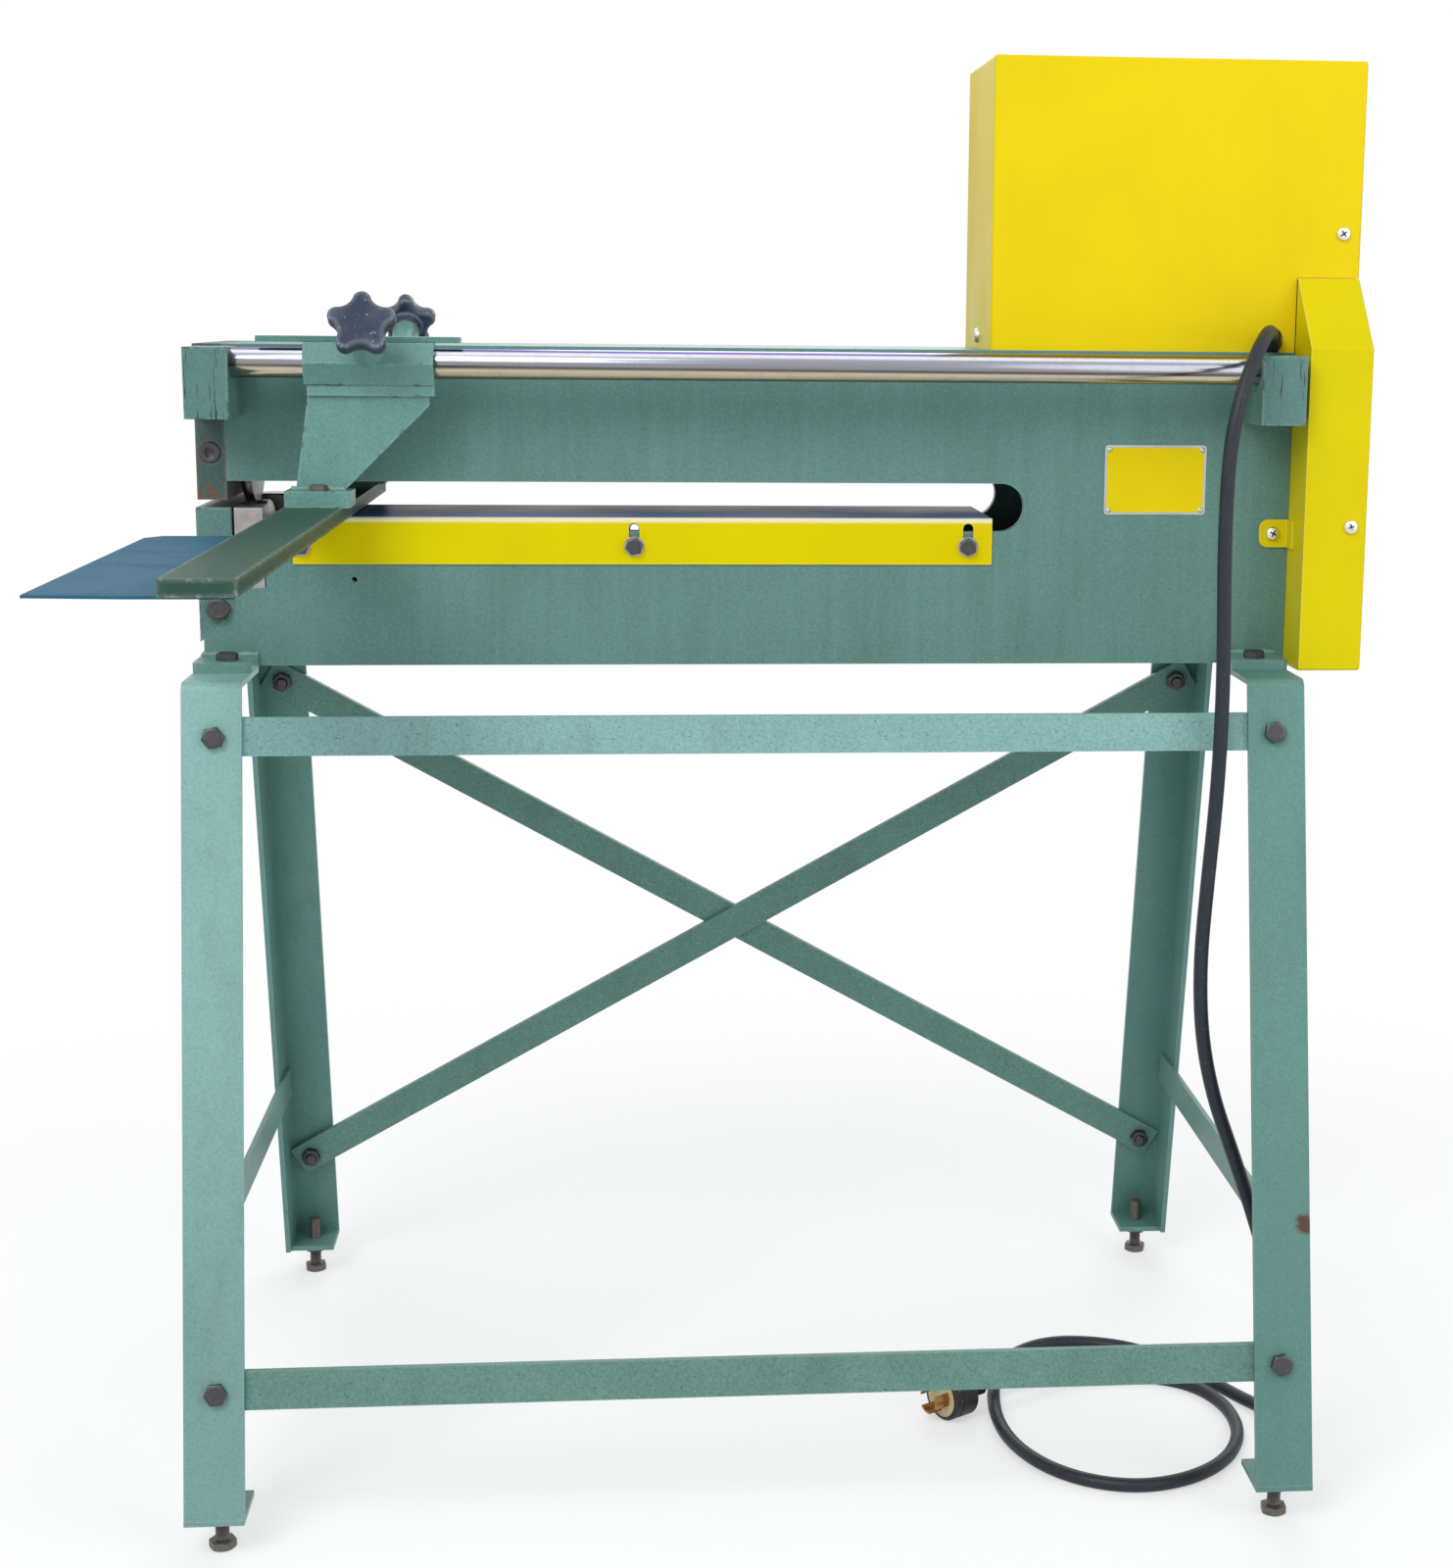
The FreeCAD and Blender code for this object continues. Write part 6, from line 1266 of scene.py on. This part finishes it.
@dataclass(frozen=True)
class StandPlan:
    """Where the stand's fasteners sit; the legs splay outwards as they go down."""

    bolt_x: float = 453.0
    top_y: float = 200.0
    top_z: float = 722.5
    splay: float = 0.2
    wall: float = 5.0
    showing: float = 12.0
    rail_heights: tuple[float, float] = (677.0, 140.0)
    brace_heights: tuple[float, float] = (667.0, 136.0)
    plate_top: float = 731.5
    plate_bolt_y: float = 125.8
    levelling_y: float = 311.1
    levelling_size: float = 12.0
    levelling_top: float = 59.0
    foot_height: float = 32.0
    weld_ends: tuple[float, float] = (432.0, 478.0)
    weld_y: float = 98.5
    weld_z: float = 732.5

    def seat(self, x: float, z: float, side: int, inward: float, outwards: bool,
             length: float = 0.0) -> Seat:
        """Seat on a leg's face.

        Args:
            x: Place along the beam.
            z: Height.
            side: -1 in front, 1 at the back.
            inward: Depth behind the face, square to it.
            outwards: True if the fastener faces away from the machine.
            length: Length of its shank.

        Returns:
            The seat.
        """
        normal = Vector((0.0, float(side), self.splay)).normalized()
        face = self.top_y + self.splay * (self.top_z - z)
        at = Vector((x, side * face, z)) - normal * inward
        return Seat(tuple(at), tuple(normal if outwards else -normal), length,
                    (x + z * 3.7) % 60)

    def layers(self, x: float, z: float) -> int:
        """Bars under a brace bolt: the rising bar lies one layer further in."""
        return 2 if (x > 0) == (z == self.brace_heights[0]) else 1

    def bolts_and_nuts(self) -> tuple[tuple[Seat, ...], tuple[Seat, ...]]:
        """Seats through the legs and the mounting plates.

        Returns:
            The bolts' seats and the nuts' seats.
        """
        bolts, nuts = [], []
        web = self.wall / math.hypot(1, self.splay)
        plates = self.plate_top - self.top_z + self.wall
        for x in (-self.bolt_x, self.bolt_x):
            grips = [(z, -1, 2 * web) for z in self.rail_heights]
            grips += [(z, 1, web + self.layers(x, z) * self.wall) for z in self.brace_heights]
            for z, side, grip in grips:
                bolts.append(self.seat(x, z, side, 0, True, grip + self.showing))
                nuts.append(self.seat(x, z, side, grip, False))
            for y in (-self.plate_bolt_y, self.plate_bolt_y):
                bolts.append(Seat((x, y, self.plate_top), UP, plates + self.showing,
                                  (x + y) % 60))
                nuts.append(Seat((x, y, self.top_z - self.wall), DOWN, 0, (x - y) % 60))
        return tuple(bolts), tuple(nuts)

    def feet(self) -> tuple[tuple[Seat, ...], tuple[Seat, ...]]:
        """Seats on the feet: bolts that stand on the floor on their heads, and lock nuts.

        Returns:
            The levelling bolts' seats and the nuts' seats.
        """
        head = HEAD_RATIO * self.levelling_size
        places = [(x, y) for x in (-self.bolt_x, self.bolt_x)
                  for y in (-self.levelling_y, self.levelling_y)]
        bolts = [Seat((x, y, head), DOWN, self.levelling_top - head, 17.0 * number)
                 for number, (x, y) in enumerate(places)]
        nuts = [Seat((x, y, self.foot_height), DOWN, 0, x % 50) for x, y in places]
        return tuple(bolts), tuple(nuts)

    def seams(self) -> tuple[tuple[Triple, Triple], ...]:
        """Ends of the weld seams that hold the mounting plates to the beam."""
        return tuple(tuple((side * x, y * self.weld_y, self.weld_z) for x in self.weld_ends)
                     for side in (-1, 1) for y in (-1, 1))


def stand_pieces(plan: StandPlan) -> list[Piece]:
    """Fasteners and welds of the stand.

    Args:
        plan: Where they sit.

    Returns:
        The pieces, not yet built.
    """
    bolts, nuts = plan.bolts_and_nuts()
    feet, lock_nuts = plan.feet()
    dark = ("frame", "dark_steel", (BLACK_STEEL,))
    return [
        HexBolts("stand_bolts_detail", *dark, "stand_bolts", seats=bolts),
        HexNuts("stand_nuts_detail", *dark, "stand_nuts", seats=nuts),
        HexBolts("levelling_bolts_detail", "frame", "dark_steel", (RUSTY_STEEL,),
                 "levelling_bolts", seats=feet, diameter=plan.levelling_size, pitch=1.75,
                 thread=None),
        HexNuts("levelling_nuts_detail", *dark, "levelling_nuts", seats=lock_nuts,
                diameter=plan.levelling_size),
        WeldBeads("mounting_plate_welds", "frame", "green_paint", (WELD,), seams=plan.seams()),
    ]


def both_sides(x: float, y: float, z: float, length: float, turn: float) -> tuple[Seat, ...]:
    """Seats in front and at the back, each facing away from the machine.

    Args:
        x: Place along the beam.
        y: Distance from the middle plane.
        z: Height.
        length: Length of the shank.
        turn: Angle of the head.

    Returns:
        The two seats.
    """
    return tuple(Seat((x, side * y, z), (0, side, 0), length, turn) for side in (-1, 1))


def beam_pieces() -> list[Piece]:
    """Fasteners and the nameplate on the beam and its covers, not yet built."""
    guard = tuple(Seat((x, -99.0, 828.0), FRONT, 18.0, 13.0 * number)
                  for number, x in enumerate((-391.0, -101.0, 196.0)))
    screws = (*both_sides(529.0, 152.0, 851.0, 6.0, 20.0),
              *both_sides(472.8, 99.0, 840.5, 6.0, 62.0),
              Seat((527.0, -95.0, 1105.7), FRONT, 7.5, 35.0),
              Seat((527.0, 76.0, 1105.7), (0, 1, 0), 7.5, 11.0),
              Seat((213.1, -13.0, 1013.5), (-1, 0, 0), 7.5, 50.0))
    pinch = both_sides(-463.25, 97.0, 772.7, 30.0, 8.0)
    sunk = both_sides(-466.0, 89.0, 908.6, 30.0, 5.0)
    return [
        HexBolts("guard_bolts_detail", "frame", "dark_steel", (BLACK_STEEL, BARE_STEEL),
                 "guard_bolts", seats=guard, washer=9.0, **SMALL_BOLT),
        EndBlockBolts("end_block_bolts_detail", "frame", "dark_steel", (BLACK_STEEL,),
                      "end_block_bolts", seats=pinch + sunk, diameter=11.0, thread=None,
                      sunk=sunk),
        CoverScrews("cover_screws_detail", "frame", "zinc", (ZINC,), "cover_screws",
                    seats=screws),
        Nameplate("nameplate_detail", "frame", "yellow_plate", (PLATE_SILVER, PRINTED_YELLOW),
                  "nameplate"),
    ]


def carriage_pieces() -> list[Piece]:
    """Fasteners and welds of the fence's foot plates, not yet built."""
    foot = tuple(Seat((-366.0, side * 163.0, 880.5), UP, 26.0, 10.0) for side in (-1, 1))
    seams = tuple(tuple((x, side * 155.0, 881.5) for x in (-388.0, -346.0))
                  for side in (-1, 1))
    return [
        HexBolts("foot_bolts_detail", "carriage", "dark_steel", (RUSTY_STEEL,), "foot_bolts",
                 seats=foot, **SMALL_BOLT),
        WeldBeads("carriage_welds", "carriage", "green_paint", (WELD,), seams=seams,
                  radius=2.6),
    ]


# Light and camera


@dataclass
class Studio:
    """Camera at the photograph's angle, soft lamps, pale floor and backdrop.

    Attributes:
        lamps: Name, place in metres, side in metres and power in watts of each area lamp.
        pale_from: Distances in metres over which the floor turns white.
    """

    camera_at: Triple = (-0.12758, -2.10284, 1.03328)
    yaw: float = math.radians(5.171)
    pitch: float = math.radians(10.405)
    roll: float = math.radians(0.569)
    lens: float = 57.026
    shift: tuple[float, float] = (-0.08606, -0.0100)
    lamps: tuple[tuple[str, Triple, float, float], ...] = (
        ("Key lamp", (-1.6, -2.6, 3.2), 2.2, 74.0), ("Fill lamp", (2.4, -2.2, 1.9), 2.4, 28.0),
        ("Back lamp", (0.6, 2.8, 2.6), 2.4, 34.0))
    aimed_at: Triple = (0.0, 0.0, 0.65)
    sky: float = 0.46
    glow: float = 0.52
    floor_size: float = 14.0
    pale_from: tuple[float, float] = (0.8, 1.9)

    def build(self) -> None:
        """Set the camera, the world, the lamps and the floor."""
        self.camera()
        self.world()
        for lamp in self.lamps:
            self.lamp(*lamp)
        self.floor()
        bpy.context.scene.view_settings.view_transform = "Standard"

    def camera(self) -> None:
        """Place the camera by the direction that it looks in."""
        forward = Vector((math.sin(self.yaw) * math.cos(self.pitch),
                          math.cos(self.yaw) * math.cos(self.pitch), -math.sin(self.pitch)))
        level = Vector((math.cos(self.yaw), -math.sin(self.yaw), 0.0))
        above = level.cross(forward)
        right = level * math.cos(self.roll) + above * math.sin(self.roll)
        up = above * math.cos(self.roll) - level * math.sin(self.roll)
        data = bpy.data.cameras.new("Camera")
        data.lens = self.lens
        data.shift_x, data.shift_y = self.shift
        camera = link("Camera", data)
        turn = Matrix((right, up, -forward)).transposed().to_4x4()
        camera.matrix_world = Matrix.Translation(self.camera_at) @ turn
        bpy.context.scene.camera = camera

    @staticmethod
    def seen(graph: Graph, unseen: Node, shown: Node) -> Node:
        """Choose a shader by the ray.

        Args:
            graph: The tree.
            unseen: Shader that lights the object.
            shown: Shader for the camera, for mirrors and through glass.

        Returns:
            The mix of both.
        """
        path = graph.add("LightPath").outputs
        mirrored = graph.math("MAXIMUM", path["Is Glossy Ray"], path["Is Transmission Ray"])
        mask = graph.math("MAXIMUM", path["Is Camera Ray"], mirrored)
        return graph.add("MixShader", {0: mask, 1: unseen.outputs[0], 2: shown.outputs[0]})

    def world(self) -> None:
        """Soft even light, with white behind the object."""
        world = bpy.data.worlds.new("Studio")
        bpy.context.scene.world = world
        graph = Graph.of(world)
        soft = graph.add("Background", {"Color": (0.93, 0.96, 1.0, 1), "Strength": self.sky})
        white = graph.add("Background", {"Color": WHITE, "Strength": 1.0})
        graph.add("OutputWorld", {0: self.seen(graph, soft, white).outputs[0]})

    def lamp(self, name: str, at: Triple, size: float, power: float) -> None:
        """Add an area lamp that looks at the middle of the machine.

        Args:
            name: Lamp's name.
            at: Place in metres.
            size: Side of the square lamp.
            power: Watts.
        """
        data = bpy.data.lights.new(name, "AREA")
        data.size, data.energy = size, power
        lamp = link(name, data)
        lamp.location = at
        aim = Vector(self.aimed_at) - Vector(at)
        lamp.rotation_euler = aim.to_track_quat("-Z", "Y").to_euler()

    def floor(self) -> None:
        """Lay a pale floor that runs out of view and shows white but for the shadow."""
        shape = bmesh.new()
        bmesh.ops.create_grid(shape, x_segments=1, y_segments=1, size=self.floor_size)
        mesh = bpy.data.meshes.new("Floor")
        shape.to_mesh(mesh)
        shape.free()
        floor = link("Floor", mesh)
        material = bpy.data.materials.new("Pale floor")
        graph = Graph.of(material)
        plain = graph.add("BsdfDiffuse", {"Color": (0.80, 0.80, 0.80, 1)})
        dim = graph.add("BsdfDiffuse", {"Color": (0.55, 0.55, 0.55, 1)})
        glow = graph.add("Emission", {"Color": WHITE, "Strength": self.glow})
        near = graph.add("AddShader", {0: dim.outputs[0], 1: glow.outputs[0]})
        white = graph.add("Emission", {"Color": WHITE, "Strength": 1.0})
        away = graph.add("VectorMath", {0: graph.add("TexCoord").outputs["Object"]},
                         operation="LENGTH").outputs["Value"]
        pale = graph.add("MixShader", {0: graph.ramp(away, *self.pale_from),
                                       1: near.outputs[0], 2: white.outputs[0]})
        graph.add("OutputMaterial", {0: self.seen(graph, plain, pale).outputs[0]})
        floor.data.materials.append(material)


# Cord


@dataclass
class PowerCord:
    """Rubber mains cord from the gland to the plug on the floor."""

    diameter: float = 0.0125
    body: str = "frame"
    route: tuple[Triple, ...] = (
        (465, -101, 1012), (455, -138, 1021), (441, -174, 1018), (424, -201, 996),
        (410, -213, 961), (402, -216, 915), (401, -217, 840), (403, -219, 760),
        (403, -222, 690), (400, -225, 620), (394, -227, 545), (390, -227, 475),
        (394, -225, 410), (407, -223, 352), (427, -220, 300), (447, -217, 245),
        (465, -214, 190), (478, -212, 137), (487, -205, 87), (495, -186, 46),
        (500, -155, 20), (492, -120, 7.5), (476, -92, 6.5), (459, -60, 6.5),
        (441, -28, 6.5), (421, 2, 6.5), (394, 29, 6.5), (357, 46, 6.5),
        (316, 50, 6.5), (279, 31, 6.5), (253, -7, 6.5), (239, -63, 6.5),
        (234, -124, 6.5), (242, -179, 6.5), (265, -226, 6.5), (301, -258, 6.5),
        (346, -270, 6.5), (392, -257, 6.5), (430, -226, 6.5), (453, -183, 6.5),
        (460, -140, 6.5), (455, -98, 6.5), (436, -62, 6.5), (405, -42, 6.5),
        (364, -34, 6.5), (322, -36, 7), (285, -46, 15), (252, -63, 23),
        (224, -81.5, 23),
    )

    def build(self, plug: Thing) -> Thing:
        """Args:
            plug: The plug on its end; not used.

        Returns:
            The cord's object.
        """
        curve = bpy.data.curves.new("Power cord", "CURVE")
        curve.dimensions = "3D"
        curve.bevel_depth = self.diameter / 2
        curve.bevel_resolution = 5
        curve.resolution_u = 6
        curve.use_fill_caps = True
        spline = curve.splines.new("NURBS")
        points = [from_stand(*point) for point in self.route]
        spline.points.add(len(points) - 1)
        for target, point in zip(spline.points, points):
            target.co = (*point, 1.0)
        spline.order_u = 3
        spline.use_endpoint_u = True
        cord = link("cord_tube", curve)
        curve.materials.append(CORD_BLACK.make())
        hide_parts("power_cord")
        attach(cord, self.body)
        self.length(points)
        return cord

    @staticmethod
    def length(points: Sequence[Vector], steps: int = 20) -> float:
        """Length of the smooth curve: each run between the middles of two legs is a parabola.

        Args:
            points: The curve's control points.
            steps: Straight pieces that each run is measured in.

        Returns:
            The length in metres.
        """
        middles = [(a + b) / 2 for a, b in zip(points[1:-1], points[2:-1])]
        middles = [points[0], *middles, points[-1]]
        total = 0.0
        for start, corner, end in zip(middles, points[1:-1], middles[1:]):
            last = start
            for step in range(1, steps + 1):
                t = step / steps
                here = start * (1 - t) ** 2 + corner * 2 * t * (1 - t) + end * t ** 2
                total += (here - last).length
                last = here
        return total


def dress_nodes(nodes: dict[str, Thing]) -> None:
    """Give each CAD piece that stays in view its finish and its rounded edges.

    Args:
        nodes: The CAD pieces by name.
    """
    for dressing in DRESSINGS:
        for name in dressing.names:
            dress(nodes[name], dressing.finish)
            if dressing.edge:
                soften(nodes[name], dressing.edge)
            log.info("%s: %s", name, dressing.finish.name)


def main() -> None:
    """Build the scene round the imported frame."""
    logging.basicConfig(level=logging.INFO, format="%(name)s: %(message)s")
    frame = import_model()
    Studio().build()
    dress_nodes(frame["nodes"])
    for piece in (*stand_pieces(StandPlan()), *beam_pieces(), *carriage_pieces()):
        piece.build()
    plug = PowerPlug("power_plug_detail", "frame", "plug_plastic",
                     (PLUG_BLACK, PLUG_FACE, BRASS), "power_plug")
    PowerCord().build(plug.build())
    log.info("laid the power cord")


if __name__ == "__main__":
    main()
